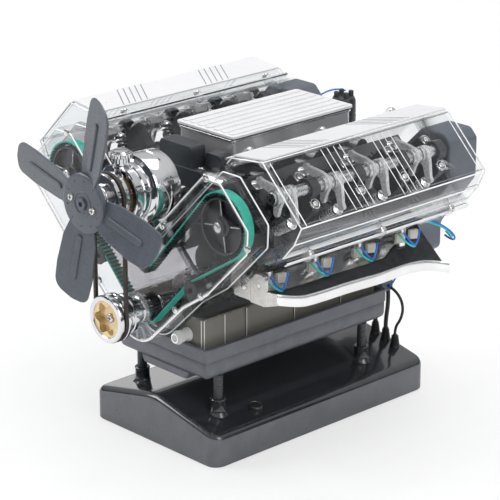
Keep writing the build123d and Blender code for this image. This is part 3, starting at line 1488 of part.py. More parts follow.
def gear_motor():
    """The small geared motor that turns the crank from behind."""
    rear = BELL_REAR_Y - HOUSING_WALL - SEAT_GAP
    body = bar_y(MOTOR_RADIUS, MOTOR_FRONT_Y, rear, z=CRANK_HEIGHT)
    body += bar_y(MOTOR_SHAFT_RADIUS, CRANK_REAR_END + SEAT_GAP, MOTOR_FRONT_Y, z=CRANK_HEIGHT)
    return body + bar_y(MOTOR_PLATE_RADIUS, rear - MOTOR_PLATE_THICKNESS, rear, z=CRANK_HEIGHT)


# Sump, tray and drain cock


def sump():
    """The smoky oil pan between the block's rail and the tray."""
    top = CRANK_HEIGHT - RAIL_DROP - SEAT_GAP
    pan = box(-SUMP_HALF_WIDTH, SUMP_HALF_WIDTH, SUMP_FRONT, SUMP_REAR, SUMP_FLOOR, top)
    pan = fillet(pan.edges().filter_by(Axis.Z), SUMP_CORNER)
    pan -= box(
        -SUMP_HALF_WIDTH + CLEAR_WALL,
        SUMP_HALF_WIDTH - CLEAR_WALL,
        SUMP_FRONT + CLEAR_WALL,
        SUMP_REAR - CLEAR_WALL,
        SUMP_FLOOR + CLEAR_WALL,
        top + OVERRUN,
    )
    return pan - bar_y(JOURNAL_RADIUS + ROOM, SUMP_FRONT - OVERRUN, SUMP_REAR + OVERRUN, z=CRANK_HEIGHT)


def drain_cock():
    """The clear cock on the sump's front."""
    face = SUMP_FRONT - SEAT_GAP
    cock = bar_y(COCK_FLANGE_RADIUS, face - COCK_FLANGE, face, COCK_X, COCK_Z)
    cock += bar_y(COCK_RADIUS, face - COCK_LENGTH, face, COCK_X, COCK_Z)
    ring = face - COCK_LENGTH + 2 * COCK_FLANGE
    cock += bar_y(COCK_FLANGE_RADIUS, ring, ring + COCK_FLANGE, COCK_X, COCK_Z)
    return cock - bar_y(COCK_BORE, face - COCK_LENGTH - OVERRUN, face - COCK_LENGTH / 2, COCK_X, COCK_Z)


def engine_tray():
    """The blue-grey cradle that the engine sits in."""
    lower = TRAY_HALF_WIDTH - TRAY_PARTING_STEP
    half = [
        (lower, TRAY_PARTING),
        (lower, TRAY_BOTTOM + TRAY_EDGE),
        (lower - TRAY_EDGE, TRAY_BOTTOM),
        (TRAY_BELLY_HALF, TRAY_BOTTOM),
        (TRAY_BELLY_HALF - TRAY_BELLY_SLOPE, TRAY_BELLY),
    ]
    front = TRAY_FRONT + TRAY_PARTING_STEP
    rear = TRAY_REAR - TRAY_PARTING_STEP
    tray = prism_y(mirrored(half), front, rear)
    upright = tray.edges().filter_by(Axis.Z).group_by(lambda edge: abs(edge.center().X))[-1]
    tray = fillet(upright, TRAY_CORNER)
    band = box(-TRAY_HALF_WIDTH, TRAY_HALF_WIDTH, TRAY_FRONT, TRAY_REAR, TRAY_PARTING, TRAY_RIM)
    tray += fillet(band.edges().filter_by(Axis.Z), TRAY_CORNER)
    well = box(
        -TRAY_HALF_WIDTH + TRAY_WALL,
        TRAY_HALF_WIDTH - TRAY_WALL,
        TRAY_FRONT + TRAY_WALL,
        TRAY_REAR - TRAY_WALL,
        SUMP_FLOOR - SEAT_GAP,
        TRAY_RIM + OVERRUN,
    )
    return tray - well


# Stand


def stand_height(x):
    """The height of the stand's sloping top."""
    return STAND_RIDGE - (STAND_RIDGE - STAND_EDGE) * abs(x) / STAND_HALF_WIDTH


def stand_body(inset, drop=0):
    """The stand's gabled body, set in by a wall."""
    half = STAND_HALF_WIDTH - inset
    edge = stand_height(half) - inset
    outline = [(-half, -drop), (half, -drop), (half, edge), (0, STAND_RIDGE - inset), (-half, edge)]
    body = prism_y(outline, STAND_FRONT + inset, STAND_REAR - inset)
    ridge = body.edges().filter_by(Axis.Y).sort_by(Axis.Z)[-1]
    body = fillet(ridge, STAND_RIDGE_ROUND)
    return fillet(body.edges().filter_by(Axis.Z), STAND_CORNER - inset)


def post_places():
    return [(x, y) for x in (-POST_X, POST_X) for y in (POST_FRONT_Y, POST_REAR_Y)]


def slope_plane(x, y):
    """A plane square to the stand's right slope."""
    rise = STAND_RIDGE - STAND_EDGE
    return Plane(origin=(x, y, stand_height(x)), z_dir=(rise, 0, STAND_HALF_WIDTH))


def stand_shell():
    shell = stand_body(0)
    top_edges = []
    for edge in shell.edges():
        middle = edge.center()
        within = STAND_FRONT + STAND_CORNER < middle.Y < STAND_REAR - STAND_CORNER
        inner_line = within and abs(middle.X) < STAND_HALF_WIDTH - STAND_CORNER
        if middle.Z > STAND_EDGE - STAND_TOP_ROUND / 2 and not inner_line:
            top_edges.append(edge)
    shell = fillet(top_edges, STAND_TOP_ROUND)
    for x, y in post_places():
        foot = stand_height(x)
        shell += bar_z(COLLAR_RADIUS, foot - STAND_WALL, COLLAR_TOP, x, y)
        flare = Cone(COLLAR_RADIUS + 2 * COLLAR_FLARE, COLLAR_RADIUS, 2 * COLLAR_FLARE, align=BASE)
        shell += Pos(x, y, foot - COLLAR_FLARE / 2) * flare
    shell -= stand_body(STAND_WALL, OVERRUN)
    for x, y in post_places():
        shell -= bar_z(POST_RADIUS + SEAT_GAP, stand_height(x), COLLAR_TOP + OVERRUN, x, y)
    button_hole = slope_plane(BUTTON_X, BUTTON_Y) * Cylinder(BUTTON_RADIUS + SLIDING_FIT, 2 * OVERRUN)
    shell -= button_hole
    for x, y in cord_feet():
        shell -= bar_z(GLAND_TIP_RADIUS, 0, STAND_RIDGE + OVERRUN, x, y)
    return shell


def stand_posts():
    pieces = []
    for x, y in post_places():
        pieces.append(bar_z(POST_RADIUS, stand_height(x) + SEAT_GAP, TRAY_BOTTOM - SEAT_GAP, x, y))
    return pieces


def stand_floor():
    """The floor panel, with the battery hatch opening and posts under the circuit board."""
    half = STAND_HALF_WIDTH - STAND_WALL - SEAT_GAP
    front = STAND_FRONT + STAND_WALL + SEAT_GAP
    rear = STAND_REAR - STAND_WALL - SEAT_GAP
    floor = box(-half, half, front, rear, 0, STAND_FLOOR)
    floor = fillet(floor.edges().filter_by(Axis.Z), STAND_CORNER - STAND_WALL)
    floor -= box(-HATCH_HALF_X, HATCH_HALF_X, -HATCH_HALF_Y, HATCH_HALF_Y, -OVERRUN, STAND_FLOOR + OVERRUN)
    for way in (-1, 1):
        y = BUTTON_Y + way * (BOARD_HALF_Y - BOARD_POST_RADIUS)
        floor += bar_z(BOARD_POST_RADIUS, 0, board_base() - SEAT_GAP, BUTTON_X, y)
    return floor


def battery_cover():
    half_x = HATCH_HALF_X - HATCH_GAP
    half_y = HATCH_HALF_Y - HATCH_GAP
    return box(-half_x, half_x, -half_y, half_y, 0, STAND_FLOOR)


def board_base():
    """The circuit board's height, set by the button's stem and travel."""
    rise = STAND_RIDGE - STAND_EDGE
    slope = math.atan2(rise, STAND_HALF_WIDTH)
    depth = STAND_WALL + SLIDING_FIT + BUTTON_FLANGE + BUTTON_STEM_LENGTH + BUTTON_TRAVEL
    drop = depth * math.cos(slope) + (BUTTON_STEM_RADIUS + SWITCH_HALF) * math.sin(slope)
    return stand_height(BUTTON_X) - drop - SWITCH_HEIGHT - BOARD_THICKNESS


def circuit_board():
    base = board_base()
    top = base + BOARD_THICKNESS
    x = BUTTON_X
    y = BUTTON_Y
    board = box(x - BOARD_HALF_X, x + BOARD_HALF_X, y - BOARD_HALF_Y, y + BOARD_HALF_Y, base, top)
    half = SWITCH_HALF
    return board + box(x - half, x + half, y - half, y + half, top, top + SWITCH_HEIGHT)


def start_button():
    """The push button in the stand's slope, held by its flange under the wall."""
    under = STAND_WALL + SLIDING_FIT
    button = Cylinder(BUTTON_RADIUS, BUTTON_PROUD + under, align=(Align.CENTER, Align.CENTER, Align.MAX))
    button = Pos(0, 0, BUTTON_PROUD) * button
    flange = Cylinder(BUTTON_FLANGE_RADIUS, BUTTON_FLANGE, align=(Align.CENTER, Align.CENTER, Align.MAX))
    stem_length = BUTTON_FLANGE + BUTTON_STEM_LENGTH
    stem = Cylinder(BUTTON_STEM_RADIUS, stem_length, align=(Align.CENTER, Align.CENTER, Align.MAX))
    button += Pos(0, 0, -under) * (flange + stem)
    return slope_plane(BUTTON_X, BUTTON_Y) * button


# Cords from the stand up to the bell

def cord_points(plan, shares, entry):
    """A cord's route in the frame, climbing from its gland into the housing's cable box."""
    start = stand_height(plan[0][0]) + GLAND_HEIGHT
    climb = cable_box_floor() + entry - start
    return [(x, y, start + share * climb) for (x, y), share in zip(plan, shares)]


def cord_lines():
    """Every cord as its points and its radius."""
    return [
        (cord_points(LEFT_CORD_PLAN, LEFT_CORD_SHARES, LEFT_CORD_ENTRY), CORD_RADIUS),
        (cord_points(MIDDLE_CORD_PLAN, MIDDLE_CORD_SHARES, MIDDLE_CORD_ENTRY), CORD_RADIUS),
        (cord_points(THIN_CORD_PLAN, THIN_CORD_SHARES, THIN_CORD_ENTRY), THIN_CORD_RADIUS),
    ]


def cord_feet():
    return [points[0][:2] for points, _ in cord_lines()]


def cord(points, radius):
    """A cord along straight runs joined by arcs as large as the runs allow."""
    corners = [Vector(*point) for point in points]
    radii = []
    for before, corner, after in zip(corners, corners[1:], corners[2:]):
        turn = math.radians((corner - before).get_angle(after - corner))
        shorter = min((corner - before).length, (after - corner).length)
        radii.append(BEND_SHARE * shorter / math.tan(turn / 2))
    print("cord radii", [round(value, 1) for value in radii])
    path = FilletPolyline(*points, radius=radii)
    section = Plane(origin=path @ 0, z_dir=path % 0) * Circle(radius)
    tube = sweep(section, path=path)
    full = math.pi * radius**2 * path.length
    print("cord length", round(path.length, 1), "volume share", round(tube.volume / full, 4))
    return tube


def cord_glands():
    """Ribbed strain reliefs on the stand where the cords go in."""
    pieces = []
    for points, _ in cord_lines():
        x, y, top = points[0]
        base = top - GLAND_HEIGHT
        gland = Pos(x, y, base) * Cone(GLAND_RADIUS, GLAND_TIP_RADIUS, GLAND_HEIGHT - SEAT_GAP, align=BASE)
        for rib in range(GLAND_RIBS):
            share = (rib + 1) / (GLAND_RIBS + 1)
            level = base + share * GLAND_HEIGHT
            radius = GLAND_RADIUS + (GLAND_TIP_RADIUS - GLAND_RADIUS) * share + GLAND_RIB_PROUD
            gland += bar_z(radius, level - GLAND_RIB_PROUD, level + GLAND_RIB_PROUD, x, y)
        gland -= stand_body(-SEAT_GAP)
        pieces.append(gland)
    return pieces


# Fasteners


def case_screws():
    """The alike screws of the rocker covers."""
    pieces = []
    base = COVER_BASE + 2 * COVER_FLANGE + SEAT_GAP
    for side in SIDES.values():
        for x, y in cover_screw_places():
            pieces.append(on_bank(Pos(x, y, base) * hexagon_bar(SCREW_RADIUS, SCREW_HEIGHT), side))
    return pieces



def both(maker):
    """A maker's pieces for the right bank and then the left."""
    return [piece for side in SIDES.values() for piece in maker(side)]


def main():
    os.makedirs("parts", exist_ok=True)
    keep("stand_shell", stand_shell())
    keep("stand_floor", stand_floor())
    keep("battery_cover", battery_cover())
    keep("circuit_board", circuit_board())
    keep("start_button", start_button())
    keep("stand_posts", *stand_posts())
    keep("engine_tray", engine_tray())
    keep("sump", sump())
    keep("drain_cock", drain_cock())
    keep("cylinder_block", cylinder_block())
    keep("cylinder_liners", *cylinder_liners())
    keep("main_bearing_caps", *main_bearing_caps())
    keep("crankshaft", *crankshaft())
    keep("crank_cheeks_outer", *crank_cheeks(outer_throws()))
    keep("crank_cheeks_inner", *crank_cheeks(inner_throws()))
    for label, throws in (("1_4", outer_throws()), ("2_3", inner_throws())):
        for name, side in SIDES.items():
            keep(f"pistons_{name}_{label}", *[piston(index, side) for index in throws])
        rods = [connecting_rod(index, side) for index in throws for side in SIDES.values()]
        keep(f"rods_{label}", *rods)
    for name, side in SIDES.items():
        keep(f"head_{name}", cylinder_head(side))
        keep(f"camshaft_{name}", camshaft(side), cam_wheels(side))
        keep(f"rocker_cover_{name}", rocker_cover(side))
        x, z = side_idler_centre(side)
        keep(f"idler_{name}", idler(x, z, SIDE_IDLER_RADIUS))
    keep("valves", *both(valves))
    keep("valve_springs", *both(valve_springs))
    keep("rocker_brackets", *both(rocker_brackets))
    keep("rocker_arms", *both(rocker_arms))
    keep("rocker_shafts", *rocker_shafts())
    keep("cover_strips", *cover_strips())
    keep("case_screws", *case_screws())
    keep("lamp_plugs", *both(lamp_plugs))
    keep("lamp_blocks", *both(lamp_blocks))
    keep("exhausts", *[exhaust(side) for side in SIDES.values()])
    keep("timing_back_plate", timing_back_plate())
    keep("timing_cover", timing_cover())
    keep("idler_centre", idler(0, CENTRE_IDLER_RISE, CENTRE_IDLER_RADIUS))
    keep("crank_sprocket", crank_sprocket())
    keep("timing_belt", timing_belt())
    keep("crank_pulley", crank_pulley())
    keep("fan_belt", fan_belt())
    keep("fan_pulley", fan_pulley())
    keep("fan_nose", fan_nose(), fan_shaft())
    keep("fan", fan())
    keep("fan_screws", *fan_screws())
    keep("pump_housing", pump_housing())
    keep("filler_cap", filler_cap())
    keep("intake_manifold", intake_manifold())
    keep("plenum", plenum_box())
    keep("plenum_lid", plenum_lid())
    keep("distributor", distributor())
    keep("rear_housing", rear_housing())
    keep("gear_motor", gear_motor())
    keep("cords", *[cord(points, radius) for points, radius in cord_lines()])
    keep("cord_glands", *cord_glands())


main()
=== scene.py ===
import bpy, bmesh
from math import asin, atan2, cos, hypot, pi, radians, sin, sqrt, tan
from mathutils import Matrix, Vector


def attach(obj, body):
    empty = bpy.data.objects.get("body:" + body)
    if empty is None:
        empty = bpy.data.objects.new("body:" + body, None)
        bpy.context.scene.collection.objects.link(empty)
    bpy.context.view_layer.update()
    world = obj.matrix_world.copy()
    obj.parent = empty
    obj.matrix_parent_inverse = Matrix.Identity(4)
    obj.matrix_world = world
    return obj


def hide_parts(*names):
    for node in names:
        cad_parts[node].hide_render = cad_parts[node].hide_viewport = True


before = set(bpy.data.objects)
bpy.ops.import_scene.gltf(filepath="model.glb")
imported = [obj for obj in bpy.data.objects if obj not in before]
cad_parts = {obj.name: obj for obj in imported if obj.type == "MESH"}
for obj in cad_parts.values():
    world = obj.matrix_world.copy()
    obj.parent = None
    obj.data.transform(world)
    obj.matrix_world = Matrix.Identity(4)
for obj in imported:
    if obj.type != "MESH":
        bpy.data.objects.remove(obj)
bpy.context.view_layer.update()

# points are in millimetres, and make() and wire() turn them into metres
MM = 0.001
R2 = sqrt(0.5)
CRANK = 98                     # height of the crank's axis
PUMP = 180                     # height of the fan's and the drum's axis
CAM, ROCKER = 104, 125.5       # cam and rocker shaft, out from the crank along a bank
IDLER_CENTRE = CRANK + 29.5
IDLER_X, IDLER_Z = (49 + 15.2) * R2, CRANK + (49 - 15.2) * R2
THROWS = (-66, -25, 16, 57)
SIDES = {"right": 1, "left": -1}
BORE_SHIFT = 3.1               # the two banks' bores stand this far before and behind a throw
VALVE_SPREAD = 4.5             # each valve and rocker stands this far before or behind its bore
VALVE_SEAT, VALVE_TILT = (7, 80.05), radians(14)
THROW, ROD = 8, 60             # the crank's throw, and a rod from pin to pin
DECK_LOW, DECK_HIGH = 96.6, 97.0
COVER_FRONT, COVER_REAR, COVER_BASE, COVER_TOP = -91, 79, 116.05, 147.5
STAND_HALF, STAND_RIDGE, STAND_DROP = 61, 35, 13
EDGE_POWER = 4.4               # how sharply clear plastic brightens towards its edges


def bores(side):
    return [y - side * BORE_SHIFT for y in THROWS]


# places: how a point drawn in millimetres lands in the frame

def plain(x, y, z):
    return x, y, z


def on_bank(side):
    """Across, along and out from the crank on one bank."""
    return lambda t, y, s: (side * (s + t) * R2, y, CRANK + (s - t) * R2)


def mirrored(side):
    return lambda x, y, z: (side * x, y, z)


def raised(place, height):
    return lambda x, y, z: place(x, y, z + height)


# node-based materials

SLOTS = {}


def rgb(colour):
    """A colour from three shares, or a grey from one."""
    return tuple(colour) if isinstance(colour, (tuple, list)) else (colour,) * 3


def new_material(name, slot=None):
    mat = bpy.data.materials.new(name)
    mat.use_nodes = True
    SLOTS[name] = slot
    tree = mat.node_tree
    return mat, tree, tree.nodes["Principled BSDF"]


def feed(tree, target, inputs):
    """Sets each input to a value, or links another node's output to it."""
    for key, value in inputs.items():
        if isinstance(value, bpy.types.NodeSocket):
            tree.links.new(value, target.inputs[key])
        else:
            target.inputs[key].default_value = value


def node(tree, kind, inputs=None, out=0, **settings):
    """Adds a node and gives back one of its outputs."""
    new = tree.nodes.new("ShaderNode" + kind)
    for key, value in settings.items():
        setattr(new, key, value)
    feed(tree, new, inputs or {})
    return new.outputs[out]


def mixed(tree, share, first, second):
    return node(tree, "MixShader", {"Fac": share, 1: first, 2: second})


def finish_material(tree, shader):
    feed(tree, tree.nodes["Material Output"], {"Surface": shader})


def noise(tree, scale, detail=4, rough=0.55, stretch=(1, 1, 1)):
    coords = node(tree, "TexCoord", out="Object")
    vector = node(tree, "Mapping", {"Vector": coords, "Scale": stretch})
    return node(tree, "TexNoise", {"Vector": vector, "Scale": scale, "Detail": detail, "Roughness": rough}, "Fac")


def ramp(tree, value, low, high, start=0.3, end=0.7):
    return node(tree, "MapRange", {"Value": value, "From Min": start, "From Max": end, "To Min": low, "To Max": high})


def colours(tree, value, stops, interpolation="LINEAR"):
    """A colour ramp through (position, colour) stops, first and last stop first."""
    new = tree.nodes.new("ShaderNodeValToRGB")
    new.color_ramp.interpolation = interpolation
    elements = new.color_ramp.elements
    for k, (at, colour) in enumerate(stops):
        element = elements[k] if k < 2 else elements.new(at)
        element.position, element.color = at, (*rgb(colour), 1)
    feed(tree, new, {"Fac": value})
    return new.outputs["Color"]


def tint(tree, value, dark, light):
    return colours(tree, value, ((0.3, dark), (0.7, light)))


def bump(tree, value, strength, distance=0.0002):
    return node(tree, "Bump", {"Height": value, "Strength": strength, "Distance": distance})


def surface(name, slot, dark, light, rough, metallic=0.0, scale=400, grain=0.12, stretch=(1, 1, 1), coat=0.0):
    """A moulded or metal surface: fine grain in its colour, gloss and height."""
    mat, tree, shader = new_material(name, slot)
    broad = noise(tree, scale / 8, 3)
    fine = noise(tree, scale, 5, 0.6, stretch)
    feed(tree, shader, {
        "Base Color": tint(tree, broad, dark, light), "Roughness": ramp(tree, fine, rough * 0.8, rough * 1.25),
        "Normal": bump(tree, fine, grain), "Metallic": metallic, "Coat Weight": coat, "Coat Roughness": 0.08})
    return mat


def clear(name, slot, colour, rough=0.04, shine=0.8, milk=0.0, straight=True):
    """See-through plastic with faint flow marks: light goes straight on, and its edges shine."""
    mat, tree, shader = new_material(name, slot)
    tree.nodes.remove(shader)
    flow = noise(tree, 60, 2, 0.4, (1, 0.25, 1))
    normal = bump(tree, flow, 0.04, 0.0004)
    seen = tint(tree, flow, [c * 0.975 for c in colour], colour)
    if straight:
        body = node(tree, "BsdfRefraction", {"Color": seen, "IOR": 1.0, "Roughness": 0.0})
    else:
        body = node(tree, "BsdfTransparent", {"Color": seen})
    gloss = node(tree, "BsdfGlossy", {
        "Color": (0.97, 0.975, 0.98, 1), "Roughness": ramp(tree, flow, rough * 0.6, rough * 1.4), "Normal": normal})
    facing = node(tree, "LayerWeight", {"Blend": 0.5}, "Facing")
    curve = node(tree, "Math", {0: facing, 1: EDGE_POWER}, operation="POWER")
    if milk:
        cloud = node(tree, "BsdfDiffuse", {"Color": tint(tree, flow, [c * 0.9 for c in colour], colour)})
        body = mixed(tree, milk, body, cloud)
    finish_material(tree, mixed(tree, ramp(tree, curve, 0.01, shine, 0, 1), body, gloss))
    return mat


# name in the scene, CAD material slot, darker and lighter tint, then gloss and grain
M_CLEAR = clear("clear_plastic_look", "clear_plastic", (0.97, 0.975, 0.98), 0.04, 0.85)
M_CLEAR_IN = clear("clear_inner_look", "clear_plastic", (0.98, 0.985, 0.985), 0.08, 0.6, straight=False)
M_RIM = clear("clear_edge_look", "clear_plastic", (0.95, 0.955, 0.96), 0.12, 0.9, 0.16)
M_BACK = clear("timing_back_look", "clear_plastic", (0.74, 0.725, 0.74), 0.12, 0.5, straight=False)
M_SMOKE = clear("smoky_plastic_look", "smoky_plastic", (0.5, 0.485, 0.44), 0.14, 0.6, 0.34)
M_COCK = clear("cock_look", "clear_plastic", (0.93, 0.93, 0.93), 0.12, 0.9, 0.5)
M_DECK = clear("smoky_deck_look", "dark_plastic", (0.3, 0.3, 0.31), 0.2, 0.5, 0.3)
M_PLATE = surface("bright_plate", "chrome", (0.71, 0.71, 0.72), (0.74, 0.74, 0.75), 0.34, 0.05, 320, 0.004, coat=0.12)
M_WALL = surface("plenum_plate", "chrome", (0.46, 0.465, 0.47), (0.56, 0.56, 0.57), 0.2, 0.55, 300, 0.02, coat=0.5)
M_LIP = surface("lip_plate", "chrome", 0.82, 0.9, 0.2, 0.75, 500, 0.04)
# grey for the printed lines on the cover strips, and for painted shade lines inside the clear covers' edges
M_PRINT_AND_SHADE = surface("strip_line_grey", "clear_plastic", (0.16, 0.16, 0.17), (0.22, 0.22, 0.23), 0.4, 0.2, 700, 0.05)
# the stand's steep sides: a lighter copy of its black gloss, painted sheen where the light falls on them
M_STAND_SIDE_SHEEN = surface("stand_side", "black_gloss", (0.105, 0.11, 0.12), (0.13, 0.136, 0.147), 0.33, 0, 700, 0.08)
M_STAND = surface("stand_gloss", "black_gloss", (0.018, 0.02, 0.023), (0.028, 0.03, 0.034), 0.13, 0, 700, 0.05,
                  coat=0.6)
M_BUTTON = surface("button_gloss", "black_gloss", (0.02, 0.021, 0.023), (0.028, 0.03, 0.032), 0.12, 0, 500, 0.03,
                   coat=0.5)
M_POST = surface("post_plastic", "dark_plastic", (0.025, 0.027, 0.03), (0.04, 0.042, 0.046), 0.28, 0, 900, 0.08)
M_BLUEGREY = surface("blue_grey_plastic_look", "blue_grey_plastic", (0.085, 0.098, 0.12), (0.1, 0.115, 0.14),
                     0.36, 0, 1200, 0.16)
M_TRAY = surface("tray_plastic", "blue_grey_plastic", (0.1, 0.108, 0.125), (0.125, 0.133, 0.15), 0.34, 0, 1200,
                 0.14)
M_FAN = surface("fan_plastic", "blue_grey_plastic", (0.072, 0.083, 0.102), (0.088, 0.1, 0.122), 0.3, 0, 1200, 0.16)
M_DARK = surface("dark_plastic_look", "dark_plastic", (0.018, 0.02, 0.024), (0.035, 0.038, 0.044), 0.36, 0, 900, 0.14)
M_WHEEL = surface("wheel_plastic", "dark_plastic", (0.008, 0.009, 0.011), (0.014, 0.016, 0.019), 0.36, 0, 2400, 0.04)
# near-white for painted highlights along the edges of clear and smoky plastic
M_PAINTED_HIGHLIGHT = surface("bright_edge", "clear_plastic", (0.84, 0.845, 0.85), (0.93, 0.93, 0.935), 0.15, 0.15, 500,
                 0.04, coat=0.6)
M_CHROME = surface("chrome_plate", "chrome", (0.6, 0.605, 0.62), (0.7, 0.705, 0.715), 0.1, 1, 300, 0.03)
M_TAB = surface("tab_metal", "chrome", (0.5, 0.49, 0.47), (0.6, 0.585, 0.56), 0.26, 0.8, 1600, 0.02)
M_SATIN = surface("satin_chrome", "chrome", (0.8, 0.8, 0.81), 0.88, 0.2, 1, 500, 0.05)
M_SLEEVE = surface("sleeve_metal", "pale_grey_plastic", (0.55, 0.55, 0.555), 0.7, 0.24, 0.7, 500, 0.08)
M_STEEL = surface("steel_rod", "steel", (0.5, 0.5, 0.51), (0.62, 0.62, 0.63), 0.26, 1, 500, 0.08, (1, 6, 1))
M_SCREW = surface("screw_steel", "steel", (0.55, 0.54, 0.53), (0.72, 0.71, 0.7), 0.2, 1, 900, 0.06)
M_GOLD = surface("gold_plate", "gold", (0.62, 0.47, 0.26), (0.78, 0.62, 0.38), 0.3, 0.75, 400, 0.05)
M_COPPER = surface("copper_spot", "gold", (0.5, 0.24, 0.12), (0.68, 0.36, 0.2), 0.25, 1, 600, 0.08)
M_ARM = surface("pale_arm_plastic", "pale_grey_plastic", 0.52, 0.68, 0.28, 0.2, 700, 0.1)
M_PISTON = surface("piston_plastic", "pale_grey_plastic", 0.5, (0.62, 0.62, 0.61), 0.3, 0.3, 700, 0.08)
M_CREAM = surface("cream_plastic_look", "cream_plastic", (0.62, 0.57, 0.48), (0.76, 0.71, 0.62), 0.42, 0, 900, 0.12)
M_TEAL = surface("teal_belt", "teal_rubber", (0.01, 0.3, 0.22), (0.02, 0.42, 0.31), 0.45, 0, 1500, 0.2)
M_TEETH = surface("belt_teeth", "teal_rubber", (0.004, 0.02, 0.018), (0.012, 0.04, 0.035), 0.5, 0, 1500, 0.2)
M_BELT = surface("brown_belt", "brown_rubber", (0.018, 0.012, 0.01), (0.04, 0.028, 0.022), 0.5, 0, 1500, 0.2)
M_CORD = surface("cord_rubber", "black_rubber", (0.012, 0.012, 0.013), (0.024, 0.024, 0.026), 0.4, 0, 1800, 0.12)
M_BLUE = surface("blue_wire", "clear_plastic", (0.01, 0.14, 0.55), (0.02, 0.22, 0.72), 0.3, 0, 900, 0.05)
M_GREEN = surface("teal_wire", "clear_plastic", (0.02, 0.5, 0.45), (0.06, 0.66, 0.6), 0.3, 0, 900, 0.05)
M_BLACKROUGH = surface("rough_black", "dark_plastic", (0.008, 0.008, 0.009), (0.03, 0.03, 0.032), 0.6, 0, 900, 0.6)
M_BOARD = surface("circuit_board_look", None, (0.01, 0.09, 0.03), (0.02, 0.14, 0.05), 0.4, 0, 900, 0.1)


# mesh building

def join(name, data, mat, body, slot, node_name):
    """Puts a piece into the scene on a body, in the place of a CAD node where one is named."""
    obj = bpy.data.objects.new(name, data)
    bpy.context.collection.objects.link(obj)
    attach(obj, body)
    slot or SLOTS[mat.name]
    if node_name:
        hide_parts(node_name)
    return obj


def bevelled(obj, width, segments, angle, harden=True):
    mod = obj.modifiers.new("edges", "BEVEL")
    mod.width = width * MM
    mod.segments = segments
    mod.limit_method = "ANGLE"
    mod.angle_limit = radians(angle)
    mod.harden_normals = harden
    mod.use_clamp_overlap = True


def walled(obj, thickness, offset):
    mod = obj.modifiers.new("wall", "SOLIDIFY")
    mod.thickness = thickness * MM
    mod.offset = offset
    return mod


def make(name, shape, mat, body="engine", slot=None, of=None, place=plain, bevel=0.0, segments=2, angle=32,
         smooth=True):
    """A mesh piece from (points, faces), riding on a body and standing for the CAD node named by of."""
    verts, faces = shape
    mesh = bpy.data.meshes.new(name)
    mesh.from_pydata([tuple(MM * c for c in place(*v)) for v in verts], [], faces)
    work = bmesh.new()
    work.from_mesh(mesh)
    bmesh.ops.remove_doubles(work, verts=work.verts, dist=1e-7)
    bmesh.ops.recalc_face_normals(work, faces=work.faces)
    work.to_mesh(mesh)
    work.free()
    for polygon in mesh.polygons:
        polygon.use_smooth = smooth
    mesh.set_sharp_from_angle(angle=radians(angle))
    mesh.materials.append(mat)
    obj = join(name, mesh, mat, body, slot, of)
    if bevel:
        bevelled(obj, bevel, segments, 28)
    return obj


def wire(name, lines, radius, mat, slot=None, of=None, body="engine", place=plain, smooth=False, resolution=6):
    """Round wires along lines of points, all one piece."""
    data = bpy.data.curves.new(name, "CURVE")
    data.dimensions = "3D"
    data.bevel_depth = radius * MM
    data.bevel_resolution = resolution
    data.use_fill_caps = True
    for line in lines:
        spline = data.splines.new("NURBS" if smooth else "POLY")
        spline.points.add(len(line) - 1)
        for point, target in zip(line, spline.points):
            target.co = (*[MM * c for c in place(*point)], 1)
        if smooth:
            spline.order_u = 3
            spline.use_endpoint_u = True
            spline.resolution_u = 6
    data.materials.append(mat)
    return join(name, data, mat, body, slot, of)


def sided(name, side, place):
    """make() and wire() for one side: names end in the side, and of the pair the right one takes the CAD node."""
    def one_side(build):
        def piece(tag, *rest, first=None, **more):
            if first and side > 0:
                more["of"] = first
            more.setdefault("place", place)
            return build(tag + "_" + name, *rest, **more)
        return piece
    return one_side(make), one_side(wire)


def merge(parts):
    verts, faces = [], []
    for v, f in parts:
        base = len(verts)
        verts += v
        faces += [tuple(i + base for i in face) for face in f]
    return verts, faces


def box(x0, x1, y0, y1, z0, z1):
    v = [(x, y, z) for x in (x0, x1) for y in (y0, y1) for z in (z0, z1)]
    f = [(0, 1, 3, 2), (4, 6, 7, 5), (0, 4, 5, 1), (2, 3, 7, 6), (0, 2, 6, 4), (1, 5, 7, 3)]
    return v, f


def skin(rows, wrap=True, caps=()):
    """Faces between rows of points; caps names the rows that are closed, and which way round."""
    n = len(rows[0])
    faces = [(k * n + i, k * n + (i + 1) % n, (k + 1) * n + (i + 1) % n, (k + 1) * n + i)
             for k in range(len(rows) - 1) for i in range(n if wrap else n - 1)]
    for row, way in caps:
        start = (row % len(rows)) * n
        faces.append(tuple(range(start, start + n))[::way])
    return [p for row in rows for p in row], faces


def rect(x0, x1, y0, y1):
    return [(x0, y0), (x1, y0), (x1, y1), (x0, y1)]


def angles(n, start=0.0):
    return [start + 2 * pi * i / n for i in range(n)]


def circle(cx, cz, r, n=48, start=0.0):
    return [(cx + r * cos(a), cz + r * sin(a)) for a in angles(n, start)]


def spoke(a, inner, outer, half, cx=0.0, cz=0.0):
    """A narrow rectangle that points away from a centre."""
    return [(cx + r * cos(a) - w * sin(a), cz + r * sin(a) + w * cos(a))
            for r, w in ((inner, half), (inner, -half), (outer, -half), (outer, half))]


def knurled(cx, cz, tip, depth, lobes, n=96):
    radii = [tip - depth * (0.5 + 0.5 * cos(lobes * a)) for a in angles(n)]
    return [(cx + r * cos(a), cz + r * sin(a)) for r, a in zip(radii, angles(n))]


